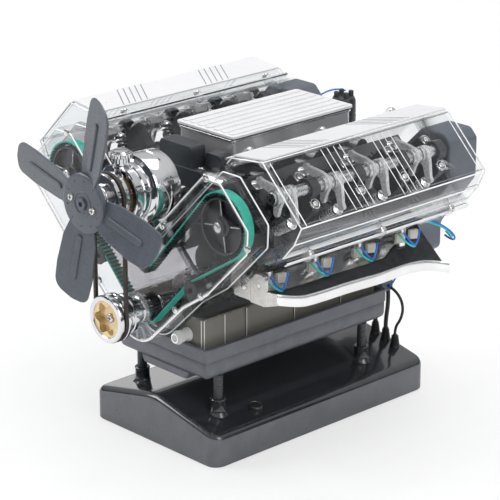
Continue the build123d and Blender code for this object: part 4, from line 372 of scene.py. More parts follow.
def plate(loops, low, high, axis="y"):
    """A flat shape with holes, drawn out along an axis."""
    def point(u, v, w):
        return {"y": (u, w, v), "z": (u, v, w), "x": (w, u, v)}[axis]
    work = bmesh.new()
    rings = []
    for loop in loops:
        ring = [work.verts.new((u, v, 0)) for u, v in loop]
        for a, b in zip(ring, ring[1:] + ring[:1]):
            work.edges.new((a, b))
        rings.append(ring)
    if len(loops) == 1:
        work.faces.new(rings[0])
    else:
        bmesh.ops.triangle_fill(work, use_beauty=True, use_dissolve=False, edges=work.edges[:])
    work.verts.ensure_lookup_table()
    work.verts.index_update()
    count = len(work.verts)
    flat = [(v.co.x, v.co.y) for v in work.verts]
    caps = [tuple(v.index for v in face.verts) for face in work.faces]
    order = [[v.index for v in ring] for ring in rings]
    work.free()
    verts = [point(u, v, w) for w in (low, high) for u, v in flat]
    faces = caps + [tuple(i + count for i in reversed(face)) for face in caps]
    for ring in order:
        faces += [(a, b, b + count, a + count) for a, b in zip(ring, ring[1:] + ring[:1])]
    return verts, faces


def lathe(profile, u=0, v=0, n=48, axis="y"):
    """Turns (radius, along) points about an axis that passes the other two at u and v."""
    verts, faces, rows = [], [], []
    for r, h in profile:
        if r < 1e-6:
            rows.append([len(verts)])
            verts.append((0, h, 0))
        else:
            rows.append(list(range(len(verts), len(verts) + n)))
            verts += [(r * cos(a), h, r * sin(a)) for a in angles(n)]
    for a, b in zip(rows, rows[1:]):
        for i in range(n):
            j = (i + 1) % n
            if len(a) == 1 and len(b) == 1:
                continue
            if len(a) == 1:
                faces.append((a[0], b[j], b[i]))
            elif len(b) == 1:
                faces.append((a[i], a[j], b[0]))
            else:
                faces.append((a[i], a[j], b[j], b[i]))
    turned_to = {"y": lambda x, h, z: (x, h, z), "z": lambda x, h, z: (x, z, h), "x": lambda x, h, z: (h, x, z)}[axis]
    return [turned_to(x + u, h, z + v) for x, h, z in verts], faces


def barrel(r, low, high, inner=0, chamfer=0.2, step=None):
    """A turned profile with chamfered ends."""
    step = step or chamfer
    return [(inner, low), (r - chamfer, low), (r, low + step), (r, high - step), (r - chamfer, high), (inner, high)]


def rounded(points, radii, n=6):
    """An outline with its corners turned into arcs."""
    out = []
    for i, p in enumerate(points):
        r = radii[i] if isinstance(radii, (list, tuple)) else radii
        p, a, b = Vector(p), Vector(points[i - 1]), Vector(points[(i + 1) % len(points)])
        if r <= 0:
            out.append(tuple(p))
            continue
        u, v = (a - p).normalized(), (b - p).normalized()
        cut = min(r / tan(u.angle(v) / 2), (a - p).length * 0.49, (b - p).length * 0.49)
        start, end = p + u * cut, p + v * cut
        for k in range(n + 1):
            t = k / n
            out.append(tuple(start.lerp(p, t).lerp(p.lerp(end, t), t)))
    return out


# camera and stage

def aimed(name, data, place, way):
    """A camera, a lamp or a card at a place, facing a way."""
    obj = bpy.data.objects.new(name, data)
    obj.location = place
    obj.rotation_mode = "QUATERNION"
    obj.rotation_quaternion = way.to_track_quat("-Z", "Y")
    bpy.context.collection.objects.link(obj)
    return obj


def camera():
    azimuth, elevation = radians(46.6), radians(19.6)
    target = Vector((-9.9, -4.1, 109.4)) * MM
    back = Vector((sin(azimuth) * cos(elevation), -cos(azimuth) * cos(elevation), sin(elevation)))
    data = bpy.data.cameras.new("camera")
    data.lens = 164.8
    data.sensor_width = 36
    data.clip_end = 50
    bpy.context.scene.camera = aimed("camera", data, target + back * 1.557, -back)


def area_light(name, place, wide, power, tall=None):
    data = bpy.data.lights.new(name, "AREA")
    data.energy = power
    data.shape = "RECTANGLE"
    data.size = wide
    data.size_y = tall or wide
    aimed(name, data, place, Vector((0, 0, 0.1)) - Vector(place))


def card(name, mat, wide, tall, place=(0, 0, 0), way=Vector((0, 0, -1))):
    """A flat stage piece, in metres."""
    mesh = bpy.data.meshes.new(name)
    corners = rect(-wide / 2, wide / 2, -tall / 2, tall / 2)
    mesh.from_pydata([(x, y, 0) for x, y in corners], [], [(0, 1, 2, 3)])
    mesh.materials.append(mat)
    aimed(name, mesh, place, way)


def seen_directly(tree):
    """1 for the camera's own rays and for those that clear pieces pass on."""
    path = tree.nodes.new("ShaderNodeLightPath").outputs
    return node(tree, "Math", {0: path["Is Camera Ray"], 1: path["Is Transmission Ray"]}, operation="MAXIMUM")


def stage():
    mat, tree, shader = new_material("pale_floor")
    feed(tree, shader, {"Base Color": tint(tree, noise(tree, 30, 3), 0.86, 0.9), "Roughness": 0.6})
    share = node(tree, "Math", {0: seen_directly(tree), 1: 0.6}, operation="MULTIPLY")
    finish_material(tree, mixed(tree, share, shader.outputs[0], node(tree, "Emission", {"Strength": 1.0})))
    card("floor", mat, 12, 12)

    world = bpy.data.worlds.new("studio")
    world.use_nodes = True
    tree = world.node_tree
    tree.nodes.clear()
    height = node(tree, "SeparateXYZ", {0: node(tree, "TexCoord", out="Generated")}, "Z")
    stops = [(0.0, (0.62, 0.62, 0.63)), (1.0, 0.95)]
    stops += [(at, (grey, grey, grey * 1.02)) for at, grey in ((0.04, 0.1), (0.16, 0.14), (0.3, 0.55), (0.6, 0.9))]
    soft = node(tree, "Background", {"Strength": 0.85, "Color": colours(tree, height, stops, "EASE")})
    white = node(tree, "Background", {"Color": (0.98, 0.98, 0.98, 1)})
    feed(tree, tree.nodes.new("ShaderNodeOutputWorld"), {"Surface": mixed(tree, seen_directly(tree), soft, white)})
    bpy.context.scene.world = world

    # dark cards that only glossy rays see, for streaks in the chrome and the clear edges
    dark, tree, shader = new_material("dark_card")
    feed(tree, shader, {"Base Color": tint(tree, noise(tree, 20, 2), 0.01, 0.02), "Roughness": 0.9})
    glossy = node(tree, "LightPath", out="Is Glossy Ray")
    finish_material(tree, mixed(tree, glossy, node(tree, "BsdfTransparent"), shader.outputs[0]))
    cards = (
        (1.25, -0.15, 0.3, 0.3, 0.5), (0.2, -1.2, 0.3, 0.3, 0.5), (-0.75, -0.9, 0.35, 0.2, 0.6),
        (0.3, -0.45, 1.0, 1.3, 0.1), (0.9, 0.7, 0.4, 0.25, 0.6))
    for k, (x, y, z, wide, tall) in enumerate(cards):
        card("card_%d" % k, dark, wide, tall, (x, y, z), Vector((0, 0, 0.14)) - Vector((x, y, z)))
    area_light("softbox_left", (-1.2, -1.0, 1.2), 0.9, 14)
    area_light("softbox_right", (1.5, -0.2, 1.0), 0.8, 10, 1.2)
    area_light("softbox_back", (-1.1, 0.95, 0.2), 0.9, 0.8, 0.3)
    area_light("softbox_top", (0.1, 0.3, 1.6), 1.0, 9)
    bpy.context.scene.view_settings.view_transform = "Standard"


camera()
stage()


# cords and their glands: route, radius, and the CAD tube's length in metres

CORDS = {
    "left": ([(18, 92, 40.16), (18, 92, 45.93), (21.5, 92, 54.87), (24, 92, 62.95), (24, 92, 69)], 1.5, 0.03),
    "middle": ([(28, 92, 38.03), (28, 92, 44.12), (29, 92.5, 52.96), (29, 93, 61.04), (28.5, 93, 68.5)], 1.5, 0.0306),
    "thin": ([(38, 91, 35.9), (38, 91, 40.99), (41.5, 92.5, 46.96), (43, 93.5, 54.5), (41, 93.5, 62.05),
              (35.5, 92, 68.54), (29.5, 90, 71)], 1.0, 0.0426),
}


def build_cords():
    for tag, (points, radius, length) in CORDS.items():
        stands_for = ("cords", "cord_glands") if tag == "left" else (None, None)
        cord = wire("cord_" + tag, [points], radius, M_CORD, of=stands_for[0], smooth=True)
        x, y, top = points[0]
        base = top - 9
        ribs = [(0, base - 1), (3.4, base - 1), (3.4, base + 0.6)]
        for k in range(5):
            z, r = base + 1 + k * 1.5, 3.3 - 0.2 * k
            ribs += [(r, z), (r + 0.1, z + 0.3), (r, z + 0.7), (r - 0.75, z + 0.85), (r - 0.75, z + 1.35)]
        ribs += [(radius + 0.45, top - 0.3), (radius + 0.3, top - 0.05), (0, top - 0.05)]
        make("cord_gland_" + tag, lathe(ribs, x, y, 40, "z"), M_CORD, angle=35, of=stands_for[1])


build_cords()


# stand, posts, tray, sump

STAND_SLOPE = STAND_DROP / STAND_HALF


def stand_height(x):
    return STAND_RIDGE - STAND_DROP * abs(x) / STAND_HALF


def smooth_height(x):
    """The gabled top with a rounded ridge."""
    ridge = 8
    if abs(x) > ridge:
        return STAND_RIDGE - STAND_SLOPE * abs(x)
    return STAND_RIDGE - STAND_SLOPE * (ridge / 2 + x * x / (2 * ridge))


def stand_ring(inset):
    """The stand's rounded plan, with points across its width and the same count of them for any inset."""
    corner, n = max(9 - inset, 0.5), 8
    half, front, rear = STAND_HALF - inset, -102 + inset, 99 - inset
    inner = half - corner
    shares = (-0.6, -0.3, -0.2, -0.12, -0.05, 0, 0.05, 0.12, 0.2, 0.3, 0.6)

    def arc(cx, cy, start):
        turns = [start + pi / 2 * k / n for k in range(n + 1)]
        return [(cx + corner * cos(a), cy + corner * sin(a)) for a in turns]
    return (arc(-inner, front + corner, pi) + [(inner * s, front) for s in shares]
            + arc(inner, front + corner, -pi / 2) + arc(inner, rear - corner, 0)
            + [(-inner * s, rear) for s in shares] + arc(-inner, rear - corner, pi / 2))


def stand_mesh():
    """Plan rings up the side, round the top edge, then in across the gabled top."""
    edge = 4.5
    levels = [[(x, y, z) for x, y in stand_ring(inset)] for inset, z in ((0.8, 0), (0, 0.8))]
    turns = [pi / 2 * k / 8 for k in range(1, 9)]
    drops = [(0, edge)] + [(edge * (1 - cos(a)), edge * (1 - sin(a))) for a in turns]
    drops += [(inset, 0) for inset in (8, 14, 22, 32, 44, 55)]
    levels += [[(x, y, smooth_height(x) - drop) for x, y in stand_ring(inset)] for inset, drop in drops]
    return skin(levels, caps=((-1, 1), (0, -1)))


def build_stand():
    body = make("stand_body", stand_mesh(), M_STAND, of="stand_shell", angle=50)
    # steep faces take the lighter copy as painted sheen; the top keeps the black gloss
    body.data.materials.append(M_STAND_SIDE_SHEEN)
    for polygon in body.data.polygons:
        polygon.material_index = 1 if abs(polygon.normal.z) < 0.4 else 0
    for tag, (x, y) in zip("abcd", ((-38, -78), (-38, 57), (38, -78), (38, 57))):
        foot = stand_height(x)
        collar = [
            (7.4, foot - 2.2), (6.6, foot - 0.4), (5.7, foot + 0.6), (5.2, foot + 1.8), (5.0, foot + 3.2), (4.9, 35.6),
            (5.15, 36.0), (5.15, 36.6), (4.8, 37), (3.45, 37), (3.4, foot + 1)]
        make("post_collar_" + tag, lathe(collar, x, y, 48, "z"), M_STAND, angle=40)
        post = [(0, foot + 0.2), (3.2, foot + 0.2), (3.3, foot + 0.4), (3.3, 53.8), (0, 53.9)]
        of = "stand_posts" if tag == "a" else None
        make("post_" + tag, lathe(post, x, y, 48, "z"), M_POST, of=of, angle=40)
    slope = atan2(STAND_DROP, STAND_HALF)
    bx, by = 47, -53
    bz = stand_height(bx)

    def tilted(u, v, w):
        return bx + u * cos(slope) + w * sin(slope), by + v, bz - u * sin(slope) + w * cos(slope)
    cap = [
        (0, -2.6), (6.1, -2.6), (6.1, -1.4), (4.6, -1.35), (4.6, 2.2), (4.45, 2.7), (4.0, 3.05), (3.5, 3.15),
        (3.3, 2.95), (0, 2.8)]
    make("button_cap", lathe(cap, n=64, axis="z"), M_BUTTON, body="start_button", of="start_button", place=tilted,
         angle=40)


def build_tray():
    """The cradle: a rim band over a stepped-in, round-cornered tub with a belly."""
    def plan(inset):
        return rounded(rect(-44 + inset, 44 - inset, -94 + inset, 76 - inset), 4 - min(inset, 2))
    make("tray_rim", plate([plan(0), plan(3)], 66.3, 75.5, "z"), M_TRAY, of="engine_tray", bevel=0.7, segments=3)
    levels = ((1.0, 66.4), (0.7, 66.0), (0.7, 58.5), (0.95, 57.2), (1.7, 55.7), (3.0, 54.6), (4.6, 54.1), (7, 54))
    rows = [[(x, y, z) for x, y in plan(inset)] for inset, z in levels]
    make("tray_tub", skin(rows, caps=((0, 1), (-1, -1))), M_TRAY, angle=50)
    belly = [(-24, 54.2), (24, 54.2), (21, 48.5), (-21, 48.5)]
    make("tray_belly", plate([belly], -91, 73), M_TRAY, bevel=1.2, segments=3)


def build_sump():
    pan = rounded(rect(-36, 36, -89.5, 72.5), 3, 5)
    inner = rounded(rect(-33.8, 33.8, -87.3, 70.3), 2, 5)
    make("sump_walls", plate([pan, inner], 58, 93.9, "z"), M_SMOKE, of="sump", bevel=0.5)
    make("sump_base", plate([inner], 58, 60.2, "z"), M_SMOKE, bevel=0.3)
    ribs = [box(x, x + 1.3, y - 1.6, y + 1.6, 60, 93.5) for y in (-50, -6, 38) for x in (36, -37.3)]
    make("sump_ribs", merge(ribs), M_SMOKE, bevel=0.5)
    at = ((35.9, -88.0), (36.05, -70), (37.2, -51.6), (37.2, -7.6), (37.2, 36.4), (34.5, -89.4))
    lines = [[(side * x, y, 61), (side * x, y, 93)] for side in (-1, 1) for x, y in at]
    # bright lines along the sump's corners and ribs: painted highlights
    wire("sump_bright_lines", lines, 0.22, M_PAINTED_HIGHLIGHT, slot="smoky_plastic")
    gasket = [rounded(rect(-39, 39, -92, 84), 2), rounded(rect(-33.8, 33.8, -89, 81), 2)]
    make("pan_gasket", plate(gasket, 93.95, 94.6, "z"), M_CLEAR_IN)
    cock = [
        (0, -101.4), (1.4, -101.4), (1.5, -100.6), (3.2, -101.4), (3.8, -101.0), (3.8, -99.8), (4.5, -99.6),
        (4.7, -99.2), (4.7, -98.5), (4.4, -98.2), (3.8, -98.0), (3.8, -96.4), (4.2, -96.2), (4.2, -95.4), (3.8, -95.2),
        (3.8, -91.4), (4.7, -91.1), (4.7, -89.7), (0, -89.6)]
    make("drain_cock_body", lathe(cock, 22, 80.6), M_COCK, of="drain_cock", angle=30)
    ring = [(2.4, -101.6), (3.3, -101.6), (3.3, -101.45), (2.4, -101.45), (2.4, -101.6)]
    make("drain_cock_ring", lathe(ring, 22, 80.6), M_SATIN)


build_stand()
build_tray()
build_sump()


# fan, pulleys and pump

def turned(name, profile, mat, n=72, z=PUMP, angle=30, **more):
    """A piece turned about a lengthwise axis in the middle of the engine."""
    make(name, lathe(profile, 0, z, n), mat, angle=angle, **more)


def cross_slot(cx, cz, reach, half, low, high):
    """The cross in a screw's head."""
    return merge([box(cx - reach, cx + reach, low, high, cz - half, cz + half),
                  box(cx - half, cx + half, low, high, cz - reach, cz + reach)])


def build_fan():
    pitch = radians(-15)
    outline = rounded(
        [(-9, 15), (9, 15), (12.6, 27), (14.3, 48), (13.6, 65.5), (-1, 69.9), (-12.4, 69.4), (-13.9, 52), (-12.4, 27)],
        [0.5, 0.5, 8, 22, 17, 14, 8, 22, 8], 10)
    rib = rounded(rect(-2.2, 2.2, 23, 56), 2.19, 8)
    for turn, tag in enumerate("abcd"):
        a = radians(14 + 90 * turn)

        def blade_place(u, w, v, a=a):
            # pitch about the blade's length, then turn about the shaft
            x, y = u * cos(pitch) - w * sin(pitch), u * sin(pitch) + w * cos(pitch)
            return x * cos(a) + v * sin(a), -155.5 + y, PUMP - x * sin(a) + v * cos(a)
        on_blade = dict(body="fan", place=blade_place)
        make("fan_blade_" + tag, plate([outline], 0, 1.6), M_FAN, bevel=0.6, segments=3, **on_blade)
        make("fan_rib_" + tag, plate([rib], -1.2, 0.4), M_FAN, bevel=1.0, segments=5, **on_blade)
    hub = [
        (0, -157.5), (17.8, -157.5), (18.9, -157.3), (19.5, -156.7), (19.5, -154.3), (19.0, -153.7), (18, -153.5),
        (0, -153.5)]
    turned("fan_hub", hub, M_FAN, 96, body="fan", of="fan", angle=40)
    turned("fan_hub_ring", [(6.6, -157.5), (7.0, -158), (8.2, -158), (8.6, -157.5)], M_FAN, body="fan", angle=40)
    dot = [(0, -157.95), (0.5, -157.9), (0.75, -157.5)]
    dots = [lathe(dot, x, z, 16) for x, z in circle(0, PUMP, 15.2, 10, 0.2)]
    make("fan_hub_dots", merge(dots), M_FAN, body="fan")
    hexagon = circle(0, PUMP, 4.6, 6, 0.2)
    make("fan_hub_hex", plate([hexagon, circle(0, PUMP, 1.6, 24)], -159.1, -157.4), M_FAN, body="fan", bevel=0.3)
    head = [(0, -158.8), (1.5, -159.05), (2.1, -158.85), (2.3, -158.4), (2.3, -157.55), (0, -157.55)]
    tilt = radians(12)
    for tag, way in (("a", -1), ("b", 1)):
        x, z = way * 10.7 * cos(tilt), PUMP - way * 10.7 * sin(tilt)
        of = "fan_screws" if tag == "a" else None
        make("fan_screw_" + tag, lathe(head, x, z, 32), M_SCREW, body="fan", of=of, angle=40)
        cross = cross_slot(x, z, 1.5, 0.3, -159.12, -158.8)
        # the cross is dark plastic: painted shade in the screw's recess
        make("fan_screw_cross_" + tag, cross, M_DARK, body="fan", bevel=0.08)
    nose = [
        (3.0, -153.4), (6.6, -153.4), (7, -153.1), (7, -150.2), (6.4, -149.6), (6.4, -149), (9.2, -148.4), (9.5, -148),
        (9.5, -145.4), (8.8, -144.9), (8.8, -144.2), (9.5, -143.8), (9.5, -141.1), (3.0, -141.1), (3.0, -96.6),
        (0, -96.6)]
    turned("fan_nose_body", nose, M_CHROME, body="fan", of="fan_nose")
    pulley = [
        (3.1, -141), (14.4, -141), (15.2, -140.8), (15.6, -140.3), (15.6, -138.4), (15.2, -137.9), (13.65, -137.5),
        (13.6, -137.4), (13.6, -134.6), (13.65, -134.5), (15.2, -134.1), (15.6, -133.6), (15.6, -131.7),
        (15.2, -131.2), (14.4, -131), (3.1, -131)]
    turned("fan_pulley_body", pulley, M_CHROME, 96, body="fan", of="fan_pulley", angle=28)


def build_pump():
    drum = [
        (14.4, -123.8), (14.4, -127.9), (14.9, -128.6), (18.5, -128.6), (19.2, -128.0), (19.2, -123.4), (18.4, -122.6),
        (17.8, -122.0), (17.8, -121.4), (18.8, -120.8), (18.8, -116.4), (19.6, -115.6), (21.4, -115), (22.5, -114.6),
        (23, -113.6), (23, -104.4), (22.5, -103.9), (22.5, -103.2), (23, -102.7), (23, -96), (22.4, -94.6),
        (21.3, -94.05), (3.1, -94.05)]
    turned("pump_drum", drum, M_CHROME, 96, of="pump_housing", angle=28)
    mouth = [
        (3.1, -123.7), (8, -123.7), (8.4, -124.6), (12.4, -124.6), (12.8, -123.7), (14.35, -123.7), (14.35, -127.9)]
    turned("pump_mouth", mouth, M_GOLD)
    bolt = [(0, -126.4), (1.2, -126.4), (1.5, -126), (1.5, -124.5)]
    make("pump_bolts", merge([lathe(bolt, x, z, 20) for x, z in circle(0, PUMP, 10.4, 6, 0.3)]), M_SCREW)
    foot = [box(-8.9, 8.9, -90.9, -79.1, 136.1, 168.4), box(-8.9, 8.9, -96, -79.1, 154.6, 168.4)]
    make("pump_foot", merge(foot), M_CHROME, bevel=0.8, segments=3)
    neck_y = -125.35
    neck = [(4.2, 190), (4.2, 196.6), (5.2, 197.2), (5.2, 198.6), (4.2, 199.2), (4.2, 200.6), (0, 200.6)]
    make("filler_neck", lathe(neck, 0, neck_y, 48, "z"), M_CHROME, angle=30)
    crown = plate([knurled(0, neck_y, 7.95, 0.6, 24)], 204.2, 206.9, "z")
    make("filler_cap_crown", crown, M_CHROME, of="filler_cap", bevel=0.4, angle=40)
    grip = plate([knurled(0, neck_y, 5.9, 0.35, 20)], 200.7, 204.3, "z")
    make("filler_cap_body", grip, M_CHROME, bevel=0.2, angle=40)
    dome = [(7.0, 206.8), (6.8, 207.4), (5.6, 207.6), (5.3, 208.3), (4.6, 208.6), (0, 208.6)]
    make("filler_cap_top", lathe(dome, 0, neck_y, 48, "z"), M_CHROME, angle=30)


def build_crank_front():
    on_crank = dict(z=CRANK, body="crankshaft")
    rim = [
        (9.2, -131), (15.0, -131), (15.7, -131.3), (16, -131.9), (16, -133.6), (15.6, -134.1), (13.65, -134.5),
        (13.6, -134.6), (13.6, -137.4), (13.65, -137.5), (15.6, -137.9), (16, -138.4), (16, -140.0), (15.7, -140.7),
        (15.1, -141), (12.6, -141), (12.2, -140.6), (12.2, -136.2)]
    turned("crank_pulley_rim", rim, M_CHROME, 96, of="crank_pulley", angle=28, **on_crank)
    well = [circle(0, CRANK, 12.3, 96), knurled(0, CRANK, 8.0, -3.4, 6)]
    make("crank_pulley_well", plate(well, -140.2, -136.2), M_GOLD, body="crankshaft", bevel=0.3, angle=40)
    floor = [(1.7, -136.2), (12.2, -136.2), (12.2, -135.2), (1.7, -135.2)]
    turned("crank_pulley_floor", floor, M_GOLD, **on_crank)
    drum = [
        (9, -131), (12.9, -131), (13.4, -130.5), (13.4, -127.9), (12.7, -127.3), (12.7, -126.6), (13.4, -126),
        (13.4, -123.6), (12.9, -123.1), (9, -123.1)]
    turned("crank_pulley_drum", drum, M_CHROME, **on_crank)
    hub = [
        (4.1, -131.05), (9, -131.05), (9, -118), (8.4, -117.4), (8.4, -115), (9, -114.4), (9, -107.9), (4.1, -107.9)]
    turned("crank_pulley_hub", hub, M_CHROME, **on_crank)


build_fan()
build_pump()
build_crank_front()


# timing end

def timing_outline(inset):
    """The V-shaped outline, from the foot round the right limb to the notch and back down the left."""
    foot = [((22 - inset) * cos(a), (22 - inset) * sin(a)) for a in [-pi / 2 + pi / 4 * k / 10 for k in range(11)]]
    limb = (
        (23 - inset, 41), (28.5 - inset, 68), (28.5 - inset, 119), (18 - inset / 2, 131 - inset),
        (-18 + inset / 2, 131 - inset), (-29.7 + inset, 119))
    half = foot + [((s + t) * R2, (s - t) * R2) for t, s in limb]
    out = half + [(0, (29.7 - inset) / R2)] + [(-x, z) for x, z in reversed(half) if x > 1e-6]
    radii = [0] * len(foot) + [14, 10, 3, 3, 3, 3, 5, 3, 3, 3, 3, 10, 14] + [0] * (len(foot) - 1)
    return [(x, z + CRANK) for x, z in rounded(out, radii, 5)]


def belt_line(wheels, step=1.4):
    """Points along a belt about wheels given as (x, z, signed radius)."""
    count = len(wheels)
    leave, arrive = [], [None] * count
    for i, (x1, z1, r1) in enumerate(wheels):
        x2, z2, r2 = wheels[(i + 1) % count]
        psi = atan2(z2 - z1, x2 - x1) - asin((r2 - r1) / hypot(x2 - x1, z2 - z1))
        n = (-sin(psi), cos(psi))
        leave.append((x1 - r1 * n[0], z1 - r1 * n[1]))
        arrive[(i + 1) % count] = (x2 - r2 * n[0], z2 - r2 * n[1])
    pts = []
    for i, (x, z, r) in enumerate(wheels):
        a = atan2(arrive[i][1] - z, arrive[i][0] - x)
        b = atan2(leave[i][1] - z, leave[i][0] - x)
        turn = (b - a) % (2 * pi)
        if r < 0:
            turn -= 2 * pi
        steps = max(4, int(abs(r * turn) / step))
        for k in range(steps):
            c = a + turn * k / steps
            pts.append((x + abs(r) * cos(c), z + abs(r) * sin(c)))
        start, end = leave[i], arrive[(i + 1) % count]
        steps = max(2, int(hypot(end[0] - start[0], end[1] - start[1]) / step))
        for k in range(steps):
            t = k / steps
            pts.append((start[0] + t * (end[0] - start[0]), start[1] + t * (end[1] - start[1])))
    return pts


def offset_line(pts, distance):
    out = []
    for i, p in enumerate(pts):
        a, b = pts[i - 1], pts[(i + 1) % len(pts)]
        dx, dz = b[0] - a[0], b[1] - a[1]
        size = hypot(dx, dz)
        out.append((p[0] + dz / size * distance, p[1] - dx / size * distance))
    return out


def resample(pts, spacing):
    """Evenly spaced points and headings along a closed line."""
    after = pts[1:] + pts[:1]
    lengths = [hypot(q[0] - p[0], q[1] - p[1]) for p, q in zip(pts, after)]
    total = sum(lengths)
    count = round(total / spacing)
    out, i, walked = [], 0, 0.0
    for k in range(count):
        want = total * k / count
        while walked + lengths[i] < want:
            walked += lengths[i]
            i += 1
        p, q = pts[i], after[i]
        t = (want - walked) / lengths[i]
        out.append((p[0] + t * (q[0] - p[0]), p[1] + t * (q[1] - p[1]), atan2(q[1] - p[1], q[0] - p[0])))
    return out


def belt_tooth(x, z, heading):
    """A small trapezoid tooth on the timing belt's inner side."""
    tx, tz = cos(heading), sin(heading)
    corners = ((-0.62, -0.1), (0.62, -0.1), (0.62 * 0.75, 1.3), (-0.62 * 0.75, 1.3))
    return plate([[(x + a * tx - b * tz, z + a * tz + b * tx) for a, b in corners]], -107.6, -100.4)


def build_belts():
    cam = CAM * R2
    inner = belt_line([
        (0, CRANK, 10.65), (IDLER_X, IDLER_Z, -5.65), (cam, CRANK + cam, 21.25),
        (0, IDLER_CENTRE, -4.85), (-cam, CRANK + cam, 21.25), (-IDLER_X, IDLER_Z, -5.65)])
    band = plate([offset_line(inner, 1.05), inner], -107.5, -100.5)
    make("timing_belt_band", band, M_TEAL, of="timing_belt", angle=60)
    teeth = [belt_tooth(*spot) for spot in resample(inner, 2.78)]
    make("timing_belt_teeth", merge(teeth), M_TEETH, smooth=False)
    loop = belt_line([(0, CRANK, 13.65), (0, PUMP, 13.65)])
    fan_band = plate([offset_line(loop, 2.5), loop], -137.2, -134.8)
    make("fan_belt_band", fan_band, M_BELT, of="fan_belt", bevel=0.4, angle=60)


def toothed(cx, cz, tip, root, teeth):
    out = []
    for k in range(teeth):
        for share, r in ((-0.32, root), (-0.2, tip), (0.2, tip), (0.32, root)):
            a = 2 * pi * (k + share) / teeth
            out.append((cx + r * sin(a), cz + r * cos(a)))
    return out


def build_timing_cover():
    inner = timing_outline(3)
    rim = plate([timing_outline(0), inner], -114, -96.05)
    make("timing_rim", rim, M_CLEAR, of="timing_cover", bevel=0.6, segments=3)
    make("timing_face", plate([inner, circle(0, CRANK, 9.5, 64)], -113.7, -112.2), M_CLEAR, bevel=0.25)
    make("timing_face_bead", plate([timing_outline(1.0), timing_outline(2.0)], -114.6, -113.9), M_RIM, bevel=0.3)
    # bright lines round the cover's front and back outline: painted highlights
    edge = timing_outline(0.8)
    wire("timing_edge_bead", [[(x, y, z) for x, z in edge + edge[:1]] for y in (-114.1, -96.8)], 0.5, M_PAINTED_HIGHLIGHT)
    # a thick chrome-like bead along the lower right edge of the clear cover: painted highlight
    low = [(x, z) for x, z in timing_outline(1.1) if x > 2 and z < 150 and z - CRANK < x]
    low.sort(key=sum)
    wire("timing_low_bead", [[(x, -113.6, z) for x, z in low]], 1.15, M_LIP, slot="clear_plastic")
    collar = [(9.5, -113.7), (9.5, -115.2), (10.2, -115.6), (11.4, -115.6), (12, -115.2), (12, -113.7)]
    turned("timing_collar", collar, M_RIM, 64, CRANK)
    ribs = [plate([spoke(-pi / 2 + (k - 3) * 0.42, 12, 20.5, 0.5, 0, CRANK)], -115.2, -113.8) for k in range(7)]
    make("timing_ribs", merge(ribs), M_RIM, bevel=0.25)


def roller(name, radius, x, z):
    """An idler with a flange before the belt."""
    profile = [
        (1.9, -108.3), (radius + 0.2, -108.3), (radius + 0.6, -108.1), (radius + 0.6, -107.8), (radius, -107.7),
        (radius, -100.3), (1.9, -100.3)]
    make("idler_roller_" + name, lathe(profile, x, z), M_WHEEL, body="idler_" + name, of="idler_" + name, angle=30)


def cam_lobe(y, turn):
    lift = [(5.6 + max(0.0, cos(a)) ** 3 * 1.6, a) for a in angles(48)]
    return plate([[(r * sin(a + turn), CAM + r * cos(a + turn)) for r, a in lift]], y - 2.5, y + 2.5)


def build_timing():
    build_timing_cover()
    for name, side in SIDES.items():
        piece, line = sided(name, side, on_bank(side))
        boss = [(0, -115.4), (1.8, -115.4), (2.4, -115.0), (2.4, -113.9)]
        at = ((25.5, 62), (25.5, 122), (-26.5, 122), (-26.5, 64), (19.5, 34))
        piece("timing_screws", merge([lathe(boss, t, s, 24) for t, s in at]), M_SCREW, angle=40)
        body = "camshaft_" + name
        arms = angles(4, radians(45 * side + 8))
        parts = [
            plate([toothed(0, 0, 18.7, 18.3, 48), circle(0, 0, 17, 64)], -107.75, -100.25),
            plate([circle(0, 0, 17.05, 64), circle(0, 0, 3.4, 32)], -103.6, -101.4)]
        parts += [plate([spoke(a, 6, 17.1, 0.8)], -106.2, -103.2) for a in arms]
        piece("cam_wheel_rim", merge(parts), M_WHEEL, body=body, bevel=0.2, of=body, place=raised(on_bank(side), CAM))
        cross = [[(r * cos(a), -106.25, CAM + r * sin(a)) for r in (7, 16.8)] for a in arms]
        line("cam_wheel_lines", cross, 0.3, M_SLEEVE, body=body, slot="steel")
        hub = [
            (0, -110.2), (4.6, -110.2), (5.0, -109.8), (5.0, -107.6), (5.6, -107.4), (6.4, -106.8), (6.4, -102.5),
            (3.4, -102.5)]
        piece("cam_wheel_hub", lathe(hub, 0, CAM), M_WHEEL, body=body, angle=30)
        screw = [(0, -111.7), (1.4, -111.8), (2.6, -111.6), (3.4, -111.0), (3.5, -110.1), (0, -110.1)]
        piece("cam_wheel_screw", lathe(screw, 0, CAM, 32), M_SCREW, body=body, angle=30)
        shaft = [(0, -102.5), (3.45, -102.5), (3.45, 74), (0, 74)]
        piece("cam_shaft_rod", lathe(shaft, 0, CAM, 32), M_DARK, body=body, angle=30)
        lobes = [cam_lobe(y + way * VALVE_SPREAD, radians(index * 90 + way * 55))
                 for index, y in enumerate(bores(side)) for way in (-1, 1)]
        piece("cam_lobes", merge(lobes), M_DARK, body=body, bevel=0.25, angle=40)
        roller(name, 5.6, side * IDLER_X, IDLER_Z)
    roller("centre", 4.8, 0, IDLER_CENTRE)
    sprocket = plate([toothed(0, CRANK, 8.6, 8.2, 24), circle(0, CRANK, 4.1, 32)], -107.7, -100.3)
    make("crank_sprocket_teeth", sprocket, M_WHEEL, body="crankshaft", of="crank_sprocket", bevel=0.15)


build_belts()
build_timing()


# crank train inside the clear block

CROWN = [
    (0, 8.4), (14.2, 8.4), (14.8, 7.9), (14.8, 6.2), (14.1, 6.1), (14.1, 4.9), (14.8, 4.8), (14.8, 3.6), (14.1, 3.5),
    (14.1, 2.3), (14.8, 2.2), (14.8, -9), (13.4, -9), (13.4, 5.5), (0, 5.5)]


